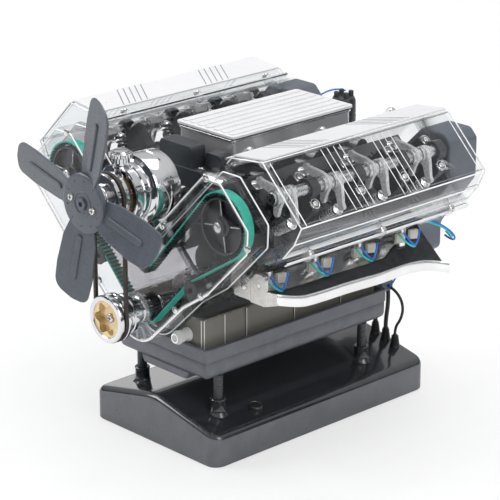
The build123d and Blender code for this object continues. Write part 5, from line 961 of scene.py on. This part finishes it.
def rod(y, across, big, small):
    """A connecting rod with its wrist pin: big end, shank, small end."""
    shank = [
        (across - 3.4, big + 5), (across + 3.4, big + 5), (across + 2.1, big + 12), (across + 1.9, small - 3.4),
        (across - 1.9, small - 3.4), (across - 2.1, big + 12)]
    return merge([
        lathe(barrel(8, y - 2.6, y + 2.6, 5.1), across, big), plate([shank], y - 1.5, y + 1.5),
        lathe(barrel(4.4, y - 2.7, y + 2.7), across, small, 40),
        lathe([(0, y - 5), (2, y - 5), (2, y + 5), (0, y + 5)], across, small, 24)])


def build_train():
    shaft = []
    for y, turn in zip(THROWS, (45, 225, 225, 45)):
        a = radians(turn)
        shaft.append(lathe(barrel(5, y - 6.1, y + 6.1), THROW * sin(a), CRANK + THROW * cos(a)))
    spans = [(-95.9, -76.3)] + [(a + 10.3, b - 10.3) for a, b in zip(THROWS, THROWS[1:])] + [(67.3, 92)]
    shaft += [lathe(barrel(5, a, b), 0, CRANK) for a, b in spans]
    shaft.append(lathe([(0, -131), (4, -131), (4, -95.9), (0, -95.9)], 0, CRANK))
    make("crank_journals", merge(shaft), M_STEEL, body="crankshaft", of="crankshaft", angle=30)
    head = [(0, -137.7), (1.8, -137.95), (2.7, -137.6), (3, -137.1), (3, -136.3), (0, -136.3)]
    turned("crank_end_screw", head, M_SCREW, 32, CRANK, body="crankshaft", angle=40)
    cross = cross_slot(0, CRANK, 1.9, 0.35, -138.0, -137.5)
    # the cross is dark plastic: painted shade in the screw's recess
    make("crank_end_cross", cross, M_DARK, body="crankshaft", bevel=0.1)
    groups = (("outer", "1_4", (0, 3), radians(45)), ("inner", "2_3", (1, 2), radians(225)))
    for group, _, indices, a in groups:
        middle = (THROW / 2 * sin(a), CRANK + THROW / 2 * cos(a))
        fronts = [THROWS[index] + low for index in indices for low in (-10.2, 6.2)]
        webs = [lathe(barrel(12.5, y, y + 4, 0, 0.6, 0.5), *middle, 64) for y in fronts]
        node_name = "crank_cheeks_" + group
        make("crank_webs_" + group, merge(webs), M_STEEL, body=node_name, of=node_name, angle=30)
    for _, label, indices, a in groups:
        rods = []
        for name, side in SIDES.items():
            place = on_bank(side)
            lag = a - radians(45 * side)
            across, big = side * THROW * sin(lag), THROW * cos(lag)
            small = big + ROD
            ys = [bores(side)[index] for index in indices]
            for y in ys:
                verts, faces = rod(y, across, big, small)
                rods.append(([place(*p) for p in verts], faces))
            crowns = [lathe([(r, h + small) for r, h in CROWN], 0, y, 64, "z") for y in ys]
            node_name = "pistons_%s_%s" % (name, label)
            make("piston_crowns_%s_%s" % (name, label), merge(crowns), M_PISTON, body=node_name, of=node_name,
                 place=place, angle=30)
        make("rod_set_" + label, merge(rods), M_STEEL, body="rods_" + label, of="rods_" + label, angle=30)


build_train()


# valve gear

ALONG = Vector((0, 1, 0))


def valve_frames(side):
    """Each valve's place along the engine, its way inwards or outwards, its seat and its slant."""
    t, s = VALVE_SEAT
    for bore in bores(side):
        for way in (-1, 1):
            y = bore + way * VALVE_SPREAD
            yield y, way, Vector((way * t, y, s)), Vector((way * sin(VALVE_TILT), 0, cos(VALVE_TILT)))


def along(seat, direction, profile, n=24):
    """A turned shape about a slanted line."""
    other = direction.cross(ALONG)
    verts, faces = lathe(profile, n=n)
    return [tuple(seat + direction * h + ALONG * x + other * z) for x, h, z in verts], faces


def coil(seat, direction):
    turns, foot, top, radius = 6.5, 18.4, 34.6, 3.1
    other = direction.cross(ALONG)
    line = []
    steps = int(turns * 14)
    for k in range(steps + 1):
        a = 2 * pi * turns * k / steps
        h = foot + (top - foot) * k / steps
        line.append(tuple(seat + direction * h + ALONG * radius * cos(a) + other * radius * sin(a)))
    return line


def rocker_outline(way, tip):
    """A rocker arm from its pad over the shaft to the valve's tip."""
    pad = ROCKER - 10.2
    return rounded([
        (way * 2.6, 131.0), (way * 7, 128.6), (tip.x - way * 1.2, tip.z + 2.3), (tip.x + way * 1.4, tip.z + 1.6),
        (tip.x + way * 2.2, tip.z - 0.2), (tip.x + way * 1.1, tip.z - 2.15), (tip.x - way * 2.1, tip.z - 2.15),
        (way * 6.4, 121.6), (way * 2.2, 120.0), (-way * 2.6, 119.6), (-way * 6, pad + 0.3), (-way * 8.2, pad),
        (-way * 9.8, pad + 1.2), (-way * 6.6, 122.6), (-way * 5.6, 126), (-way * 4, 130), (0, 131.3)], 1.1, 3)


def build_valve_gear():
    stem = [
        (0, 0), (5.3, 0), (5.5, 0.3), (5.4, 0.9), (3.2, 1.5), (1.6, 2.8), (1.15, 5), (1.15, 37.9), (0, 38)]
    cap = [(0, 34.8), (3.9, 34.8), (4, 35.2), (4, 36.0), (3.4, 36.4), (2, 36.6), (1.2, 37)]
    half = [(14, DECK_LOW), (14, 121), (6.2, 121), (6.4, 127), (4, 131)]
    saddle = [(-14, DECK_LOW)] + half + [(-x, z) for x, z in reversed(half[1:])]
    saddle = rounded(saddle, [1, 1, 3, 2, 2, 3, 3, 2, 2, 3], 5)
    holes = [circle(0, CAM, 3.6, 32), circle(0, ROCKER, 4.06, 40)]
    washer = [(3.9, 121), (3.9, 122), (3.3, 122.5), (2.9, 122.4)]
    screw = [(0, 122.9), (1.3, 123.1), (2.1, 122.8), (2.4, 122.3), (2.4, 121), (0, 121)]
    for name, side in SIDES.items():
        piece, line = sided(name, side, on_bank(side))
        stems, coils, arms, sleeves, saddles, screws, caps = [], {-1: [], 1: []}, [], [], [], [], []
        deck = [box(t, t + 20, -90.5, 78.5, DECK_LOW, DECK_HIGH) for t in (-29, 9)]
        for y, way, seat, d in valve_frames(side):
            stems.append(along(seat, d, stem))
            caps.append(along(seat, d, cap))
            coils[way].append(coil(seat, d))
            arms.append(plate([rocker_outline(way, seat + d * 40.6), circle(0, ROCKER, 4.06, 40)], y - 1.3, y + 1.3))
            sleeves.append(plate([circle(0, ROCKER, r, 40) for r in (5.25, 4.06)], y - 3.9, y + 3.9))
            hub = seat + d * ((DECK_HIGH - seat.z) / d.z)
            for a in angles(14, 0.2):
                rib = spoke(a, 6.2, 11, 0.4, hub.x, hub.y)
                if all(9 < abs(t) < 29 for t, _ in rib):
                    deck.append(plate([rib], 96.9, 98.0, "z"))
        for main in (-45.5, -4.5, 36.5, 72):
            saddles.append(plate([saddle] + holes, main - 3.5, main + 3.5))
            screws += [lathe(shape, way * 10, main, 24, "z") for way in (-1, 1) for shape in (washer, screw)]
        piece("valve_stems", merge(stems), M_STEEL, angle=40, first="valves")
        piece("valve_caps", merge(caps), M_SATIN, slot="steel", angle=40)
        # the springs of one valve in each pair are dark plastic, painted shade; the others are steel
        line("springs_dark", coils[-1], 0.62, M_DARK, slot="steel", resolution=2, first="valve_springs")
        line("springs_bright", coils[1], 0.62, M_STEEL, resolution=2)
        piece("rocker_arm_set", merge(arms), M_ARM, bevel=0.35, first="rocker_arms")
        piece("rocker_arm_sleeves", merge(sleeves), M_SLEEVE, bevel=0.3)
        piece("deck_ribs", merge(deck), M_DECK, smooth=False)
        piece("rocker_saddles", merge(saddles), M_DARK, bevel=0.4, first="rocker_brackets")
        piece("saddle_screws", merge(screws), M_SCREW, angle=40)
        shaft = [(0, -79.5), (3.7, -79.5), (4, -79.2), (4, 75.4), (3.7, 75.5), (0, 75.5)]
        piece("rocker_rod", lathe(shaft, 0, ROCKER, 40), M_STEEL, angle=30, first="rocker_shafts")


build_valve_gear()


# rocker covers

def cover_lines(points, inset):
    """Lines along the cover's length through points of its section."""
    return [[(x, COVER_FRONT + inset, z), (x, COVER_REAR - inset, z)] for x, z in points]


def build_cover_shell(piece, name):
    """An open skin of side strips and both ends, then given a wall inwards."""
    base, top = COVER_BASE, COVER_TOP
    outer = [(-34, base), (-34, base + 9.5), (-16.5, top), (32.5, top), (37, top - 13.5), (38, base)]
    rows = [[(x, y, z) for x, z in outer] for y in (COVER_FRONT, COVER_REAR)]
    shell = skin(rows, wrap=False, caps=((0, 1), (1, -1)))
    obj = piece("rocker_cover_shell", shell, M_CLEAR, of="rocker_cover_" + name)
    bevelled(obj, 1.6, 4, 15, harden=False)
    walled(obj, 2.2, -1).use_even_offset = True
    for polygon in obj.data.polygons:
        polygon.use_smooth = True


def build_cover_strip(piece):
    """The bright plate on the inner bevel, with two groups of fine slanted lines."""
    foot, head = Vector((-34, COVER_BASE + 9.5)), Vector((-16.5, COVER_TOP))
    slope = (head - foot).normalized()
    out = Vector((-slope.y, slope.x))
    length = (head - foot).length

    def on_bevel(shape):
        spots = [(foot + slope * u + out * lift, y) for u, y, lift in shape[0]]
        return [(q.x, y, q.y) for q, y in spots], shape[1]
    panel = rounded(rect(0.9, length - 0.9, COVER_FRONT + 2.2, COVER_REAR - 2.2), 1.5, 4)
    piece("cover_strip_plate", on_bevel(plate([panel], 0.06, 1.3, "z")), M_PLATE, bevel=0.25, first="cover_strips")
    lines = []
    for y in [start + k * 5.2 for start in (-66, 8) for k in range(5)]:
        quad = [(2.2, y), (2.2, y + 0.7), (length - 2.2, y + 14.7), (length - 2.2, y + 14)]
        lines.append(on_bevel(plate([quad], 1.2, 1.42, "z")))
    piece("cover_strip_lines", merge(lines), M_PRINT_AND_SHADE, slot="dark_plastic", smooth=False)


def build_covers():
    y0, y1, base, top = COVER_FRONT, COVER_REAR, COVER_BASE, COVER_TOP
    for name, side in SIDES.items():
        piece, line = sided(name, side, on_bank(side))
        build_cover_shell(piece, name)
        flange = [rounded(rect(-37, 42, y0, y1), 3, 5), rect(-33.9, 37.9, y0 + 0.1, y1 - 0.1)]
        piece("cover_flange", plate(flange, base, base + 3, "z"), M_CLEAR_IN, bevel=0.5, segments=3)
        boss = [(0, base), (3.2, base), (3.2, base + 5.6), (2.9, base + 6), (0, base + 6)]
        head = [(0, 7.6), (1.4, 7.7), (2.0, 7.4), (2.3, 7), (2.3, 6.05), (0, 6.05)]
        head = [(r, base + h) for r, h in head]
        at = [(x, y0 + share * (y1 - y0)) for share in (0.12, 0.5, 0.88) for x in (-36.4, 40.4)]
        piece("cover_bosses", merge([lathe(boss, x, y, 28, "z") for x, y in at]), M_RIM, angle=40)
        heads = [lathe(head, x, y, 24, "z") for x, y in at]
        piece("cover_screws", merge(heads), M_SCREW, angle=40, first="case_screws")
        # fine raised ribs across the broad face, in two groups, and a frame line at each end, in the near-white of
        # painted highlights
        ribs = [(-14, 31, group + k * 5.5 - 0.3, group + k * 5.5 + 0.3) for group in (-42, 2) for k in range(4)]
        ribs += [(-14.5, 31.5, y0 + 5, y0 + 5.8), (-14.5, 31.5, y1 - 5.8, y1 - 5)]
        piece("cover_ribs", merge([box(*rib, top - 0.3, top - 0.02) for rib in ribs]), M_PAINTED_HIGHLIGHT, bevel=0.15)
        # a satin chrome rail by the inner edge as a painted highlight, with painted shade lines either side, painted
        # highlight beads along the thick edges, and a thin painted shade line inside each
        line("cover_rail", cover_lines([(-35.9, base + 4.1)], 1), 1.0, M_SATIN, slot="clear_plastic")
        line("cover_rail_lines", cover_lines([(-36.8, base + 3.3), (-35.0, base + 5.0)], 1), 0.35, M_DARK)
        corners = [(-16.2, top - 0.5), (32.1, top - 0.5), (36.4, top - 13.5), (37.4, base + 3.4)]
        section = [(-33.4, base + 3.4), (-33.4, base + 9.4)] + corners
        beads = [[(x, y, z) for x, z in section] for y in (y0 + 0.6, y1 - 0.6)]
        beads += cover_lines(corners, 0.6) + cover_lines([(37.6, 120.0), (41.4, 119.0), (41.4, 116.6)], 1.5)
        line("cover_beads", beads, 0.5, M_PAINTED_HIGHLIGHT)
        shade = cover_lines(
            [(30.2, top - 0.3), (-14.8, top - 0.3), (35.6, top - 11.2), (36.9, base + 5.2), (39.6, 119.1)], 2.4)
        shade.append([(x, y0 + 2.4, z) for x, z in ((-14, top - 0.3), (30.6, top - 0.3), (34.8, top - 12.8))])
        line("cover_shade_lines", shade, 0.28, M_PRINT_AND_SHADE)
        build_cover_strip(piece)


build_covers()


# heads' outside: cove rims, lamp holders and leads

def arch(y, half, foot, rise):
    curve = [(y + half * cos(a), 84 + rise * sin(a)) for a in [pi * k / 14 for k in range(15)]]
    return [(y - half, foot), (y + half, foot)] + curve


def shifted(y, points):
    return [(x, y + dy, z) for x, dy, z in points]


def build_coves():
    lean_out = radians(62)
    way = Vector((sin(lean_out), 0, cos(lean_out)))
    plug = [(0, 0), (2.2, 0), (2.6, 1), (2.6, 13), (4.2, 13), (4.2, 15.6), (3.8, 16), (0, 16)]
    for name, side in SIDES.items():
        piece, line = sided(name, side, on_bank(side))
        outside, lead = sided(name, side, mirrored(side))
        rims, blocks, spots, plugs, teal, blue = [], [], [], [], [], []
        frames, panes, low_teal, low_blue = [], [], [], []
        for y in bores(side):
            rims.append(plate([arch(y, 14, 81.6, 11.4), arch(y, 12.5, 83.2, 9.8)], 29.9, 31.6, "x"))
            for c in (y - 5.5, y + 5.5):
                block = rounded([(c - 3.4, 88.2), (c + 3.4, 88.2), (c + 3.0, 93.9), (c - 3.0, 93.9)], 0.6, 3)
                blocks.append(plate([block], 24.8, 27.7, "x"))
                spots.append(lathe([(0, 27.95), (1.1, 27.95), (1.2, 27.7)], c, 91.8, 20, "x"))
            start = Vector((8, y - 4.5, 81))
            plugs.append(along(start, way, plug, 32))
            tip = tuple(start + way * 16 - way * 0.5)
            teal.append([tip] + shifted(y, [(26.5, -3, 86.5), (29, -6.5, 88.5), (27.5, -9.5, 93.8)]))
            blue.append([tip] + shifted(y, [(27, 1, 86.5), (29.3, 4.5, 89), (27.5, 8.5, 93.8)]))
            for a, b in ((y - 12, y - 1.2), (y + 1.2, y + 12)):
                ring = rounded(rect(a, b, 122.8, 133.6), 1.6, 5)
                hole = rounded(rect(a + 1.3, b - 1.3, 124.1, 132.3), 1, 4)
                frames.append(plate([ring, hole], 82.2, 84.4, "x"))
                block = [(a + 1.6, 126), (b - 1.6, 124.6), (b - 1.6, 131.4), (a + 1.6, 132)]
                panes.append(plate([rounded(block, 0.5, 3)], 79.4, 81.6, "x"))
            low_teal.append(shifted(y, [
                (84.2, -11, 133), (86.2, -8, 128.5), (87.4, -3.5, 124.6), (87.6, 0.5, 122.6), (85.6, 3, 122.2)]))
            low_blue.append(shifted(y, [
                (84.6, -7, 133.4), (86.8, -3.4, 127.4), (88, 0.8, 123), (86.6, 5, 126.4), (84.4, 9, 132.6)]))
        outside("cove_frames", merge(frames), M_CLEAR, bevel=0.4, segments=3)
        outside("cove_panes", merge(panes), M_CREAM, bevel=0.4)
        # loops behind the last cove
        low_teal.append([(91, 58, 141), (101, 65, 139), (104, 73, 131), (98, 80, 125), (89, 84, 127)])
        low_blue.append([(93, 60, 143), (103, 67, 138), (105, 76, 129), (97, 82, 122.5), (88, 84, 124)])
        lead("cove_leads_teal", low_teal, 0.7, M_GREEN, smooth=True)
        lead("cove_leads_blue", low_blue, 0.7, M_BLUE, smooth=True)
        piece("cove_rims", merge(rims), M_CLEAR, bevel=0.3)
        piece("lamp_holder_blocks", merge(blocks), M_CREAM, bevel=0.3, first="lamp_blocks")
        piece("lamp_contacts", merge(spots), M_COPPER)
        piece("lamp_bodies", merge(plugs), M_CLEAR, angle=30, first="lamp_plugs")
        line("lamp_leads_teal", teal, 0.5, M_GREEN, smooth=True)
        line("lamp_leads_blue", blue, 0.5, M_BLUE, smooth=True)


build_coves()


# exhaust shields: the lip's stations are y, half width and rise over the crank

LIP = [
    (-86, 91, 30), (-80, 98, 28), (-60, 101.5, 23.5), (-21, 101.5, 22.5), (8, 100, 20.5), (27, 96, 18.5),
    (47, 91.5, 16), (62, 91.5, 14), (72, 95, 12), (78, 98.5, 10.5)]
ROOT_X, ROOT_RISE = 66, 30.6


def lip_stations(steps=6):
    """The lip's line with smooth curves through its stations."""
    out = []
    for k in range(len(LIP) - 1):
        p0, p1, p2, p3 = (Vector(LIP[min(max(k + i, 0), len(LIP) - 1)]) for i in (-1, 0, 1, 2))
        leaving, arriving = (p2 - p0) / 2, (p3 - p1) / 2
        for i in range(steps):
            t = i / steps
            curve = (p1 * (2 * t**3 - 3 * t**2 + 1) + leaving * (t**3 - 2 * t**2 + t)
                     + p2 * (-2 * t**3 + 3 * t**2) + arriving * (t**3 - t**2))
            out.append(curve.lerp(p1.lerp(p2, t), 0.3))
    return out + [Vector(LIP[-1])]


def ribbon(section, closed=True):
    """A sheet along the lip's stations from a section given as a function of x and rise."""
    rows = [[(x, y, CRANK + z) for x, z in section(lip, rise)] for y, lip, rise in lip_stations()]
    return skin(rows, closed, ((0, 1), (-1, -1)) if closed else ())


def lip_section(x, rise):
    return [
        (x - 2.1, rise - 5.6), (x - 2.1, rise - 0.5), (x - 1.7, rise - 0.05), (x - 0.6, rise - 0.05),
        (x - 0.1, rise - 0.6), (x - 0.05, rise - 3), (x - 0.05, rise - 6.4), (x - 0.4, rise - 7.4),
        (x - 1.4, rise - 7.6), (x - 4.5, rise - 6.4)]


def sheet_section(x, rise):
    low = rise - 5.7
    return [(ROOT_X, ROOT_RISE), (x - 2.2, low), (x - 2.2, low - 1.6), (ROOT_X, ROOT_RISE - 1.8)]


def lining_section(x, rise):
    low = rise - 5.5
    start = 0.58 if rise > 18 else max(0.0, 0.58 * (rise - 12) / 6)
    shares = [start + (1 - start) * k / 7 for k in range(8)]
    return [(ROOT_X + (x - 2.4 - ROOT_X) * k, ROOT_RISE + (low - ROOT_RISE) * k + 0.5) for k in shares]


def build_exhausts():
    for name, side in SIDES.items():
        piece, _ = sided(name, side, mirrored(side))
        piece("exhaust_lip", ribbon(lip_section), M_LIP, angle=50, first="exhausts")
        piece("exhaust_sheet", ribbon(sheet_section), M_SATIN, angle=50)
        walled(piece("exhaust_lining", ribbon(lining_section, False), M_BLACKROUGH, angle=60), 0.4, 0)
        front = rounded([(64.5, 119.5), (79.6, 119.5), (79.6, 134.6), (73, 134.6), (64.5, 128)], [1, 1, 3, 4, 3])
        tab = rounded([(79.2, 118.4), (92.8, 118.4), (92.8, 138.6), (84.6, 138.6), (79.2, 134)], [1, 1, 4, 4, 3])
        parts = [plate([front, circle(74, 127.5, 1.7, 24)], -88.4, -85.9),
                 plate([tab, circle(87, 131, 1.9, 24)], -88.2, -85.6)]
        piece("exhaust_tabs", merge(parts), M_TAB, bevel=0.5, segments=3)
        corner = [
            (92.7, -88.2, 118.5), (92.7, -85.7, 118.5), (92.7, -85.7, 128.5), (92.7, -88.2, 128.5),
            (97.5, -80.5, 118.6), (95.4, -80.2, 118.6), (95.4, -80.2, 125.9), (97.5, -80.5, 125.9)]
        sides = [(0, 1, 2, 3), (4, 7, 6, 5), (0, 4, 5, 1), (1, 5, 6, 2), (2, 6, 7, 3), (3, 7, 4, 0)]
        piece("exhaust_corner", (corner, sides), M_TAB, bevel=0.3)
        heads = [lathe([(0, -89.5), (1.7, -89.6), (2.4, -89.2), (2.6, -88.7), (2.6, -88.4)], 74, 127.5, 28),
                 lathe([(0, -88.0), (1.6, -88.1), (1.9, -87.6)], 87, 131, 24)]
        piece("exhaust_screws", merge(heads), M_SCREW, angle=40)
        ports = [lathe([(4.1, 121), (4.1, 133.6)], 74.3, y, 32, "z") for y in bores(side)]
        piece("exhaust_ports", merge(ports), M_SATIN, angle=40)


build_exhausts()


# intake, distributor and leads

def build_plenum():
    half, front, rear = 26, -53, 55

    def ring(grow, corner):
        return rounded(rect(-half - grow, half + grow, front - grow, rear + grow), corner)
    step = 2 * half / 7
    beads = [(k + 0.5) * step - half for k in range(7)]
    parts = [plate([ring(1.5, 3)], 206.05, 208.0, "z")]
    parts += [plate([rounded(rect(x - 2.6, x + 2.6, front + 1, rear - 1), 2, 5)], 207.9, 208.95, "z") for x in beads]
    make("plenum_lid_plate", merge(parts), M_PLATE, of="plenum_lid", bevel=0.35, segments=3)
    inner = ring(-2.2, 1.5)
    make("plenum_walls", plate([ring(0, 3), inner], 187, 206, "z"), M_WALL, of="plenum", bevel=0.4)
    bands = [plate([ring(0.8, 3.4), inner], z, z + 1.4, "z") for z in (203.6, 187.4)]
    make("plenum_bands", merge(bands), M_SATIN, bevel=0.3)
    make("plenum_seam", plate([ring(0.3, 3.2)], 205.1, 206.0, "z"), M_DARK)


def build_manifold():
    body = rounded(rect(-19, 19, 174, 186.9), [3, 3, 1, 1], 4)
    make("manifold_body", plate([body], -75.1, 66.1), M_DARK, of="intake_manifold", bevel=0.6, segments=3)
    runners = []
    for side in SIDES.values():
        for bore in bores(side):
            verts, faces = lathe([(0, 15), (6, 15), (6, 30), (5.7, 34), (5.7, 38)], bore, 181, 32, "x")
            # cut along the head's inner face, which slants at 45 degrees
            cut = [(min(x, z - CRANK - 30.05 / R2) if x > 20 else x, y, z) for x, y, z in verts]
            runners.append(([(side * x, y, z) for x, y, z in cut], faces))
    make("manifold_runners", merge(runners), M_SATIN, angle=40)
    boxes = (("a", -20.9, 9.9, -74.9, -62.1, 202), ("b", 13.1, 27.9, -65.9, -56.1, 198))
    for tag, x0, x1, front, rear, top in boxes:
        hood = rounded(rect(x0, x1, 174.2, top), [1, 1, 4, 4])
        make("air_box_" + tag, plate([hood], front, rear), M_DARK, bevel=1.2, segments=4)
    bolt = [(0, 188.4), (1.8, 188.4), (2.2, 188), (2.2, 186.9)]
    make("manifold_bolts", merge([lathe(bolt, x, -70, 20, "z") for x in (-14, 14)]), M_SCREW)


def build_distributor():
    centre = 75
    body = [
        (0, 136.1), (5, 136.1), (5, 181.6), (6.5, 182), (8.1, 182.2), (8.5, 182.8), (8.5, 192), (8.0, 192.4),
        (8.0, 193.2), (8.5, 193.6), (8.3, 202), (7.4, 204.2), (5.6, 205), (0, 205)]
    make("distributor_body", lathe(body, 0, centre, 56, "z"), M_DARK, of="distributor", angle=30)
    tower = [(0, 208.4), (1.5, 208.4), (1.8, 207.9), (1.8, 203), (0, 202.6)]
    towers = [lathe(tower, 5.2 * sin(a), centre + 5.2 * cos(a), 20, "z") for a in angles(4, 0.5)]
    make("distributor_towers", merge(towers), M_DARK, angle=40)
    lead = shifted(centre, [(-3, 5, 207), (-7, 2, 208.4), (-11, -6, 207), (-14, -14, 203), (-15, -18, 199)])
    wire("distributor_lead", [lead], 0.6, M_BLUE, slot="black_rubber", smooth=True)


build_plenum()
build_manifold()
build_distributor()


# rear housing

def build_rear():
    right = [(30, -14), (60, 4), (60, 22), (90, 62), (90, 90), (84, 96), (64, 96), (40, 72)]
    out = right + [(0, 42)] + [(-x, z) for x, z in reversed(right)]
    radii = [6, 6, 10, 8, 5, 5, 5, 8, 6, 8, 5, 5, 5, 8, 10, 6, 6]
    outline = [(x, z + CRANK) for x, z in rounded(out, radii)]
    make("housing_v", plate([outline], 84.1, 112), M_BLUEGREY, of="rear_housing", bevel=1.6, segments=4)
    bell = [
        (0, 100), (30, 100), (30, 119), (29.2, 121.6), (27, 123.4), (24, 124), (20, 124), (19.4, 123.5), (15, 123.5),
        (14.4, 124), (0, 124)]
    turned("housing_bell", bell, M_BLUEGREY, 96, CRANK)
    make("housing_cable_box", box(-31, 31, 84.1, 96, 66, 97), M_BLUEGREY, bevel=1.5, segments=3)
    screw = [(0, 123.9), (1.6, 123.9), (2.1, 123.7), (2.1, 123.2)]
    make("housing_screws", merge([lathe(screw, x, z, 20) for x, z in circle(0, CRANK, 22, 6, pi / 6)]), M_SCREW)
    # dark strips stand for the vent slots: painted shade in the openings
    vents = [box(x - 0.9, x + 0.9, 123.6, 123.95, CRANK - 8, CRANK + 8) for x in (-8, -4, 0, 4, 8)]
    make("housing_vents", merge(vents), M_DARK, bevel=0.2)
    leads = [(31.2, 90, 93), (38, 91.5, 86), (37, 92, 76), (31.5, 90, 69)]
    wire("cable_box_leads", [leads], 0.6, M_BLUE, slot="black_rubber", smooth=True)


build_rear()


# finishes for the CAD pieces that stay

DRESSED = {
    "timing_back_plate": M_BACK, "cylinder_block": M_CLEAR_IN, "head_right": M_CLEAR_IN, "head_left": M_CLEAR_IN,
    "main_bearing_caps": M_CLEAR_IN, "cylinder_liners": M_CLEAR_IN, "stand_floor": M_DARK, "battery_cover": M_DARK,
    "circuit_board": M_BOARD, "gear_motor": M_STEEL,
}
for node_name, mat in DRESSED.items():
    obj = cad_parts[node_name]
    if not obj.material_slots:
        obj.data.materials.append(mat)
    for slot in obj.material_slots:
        slot.material = mat
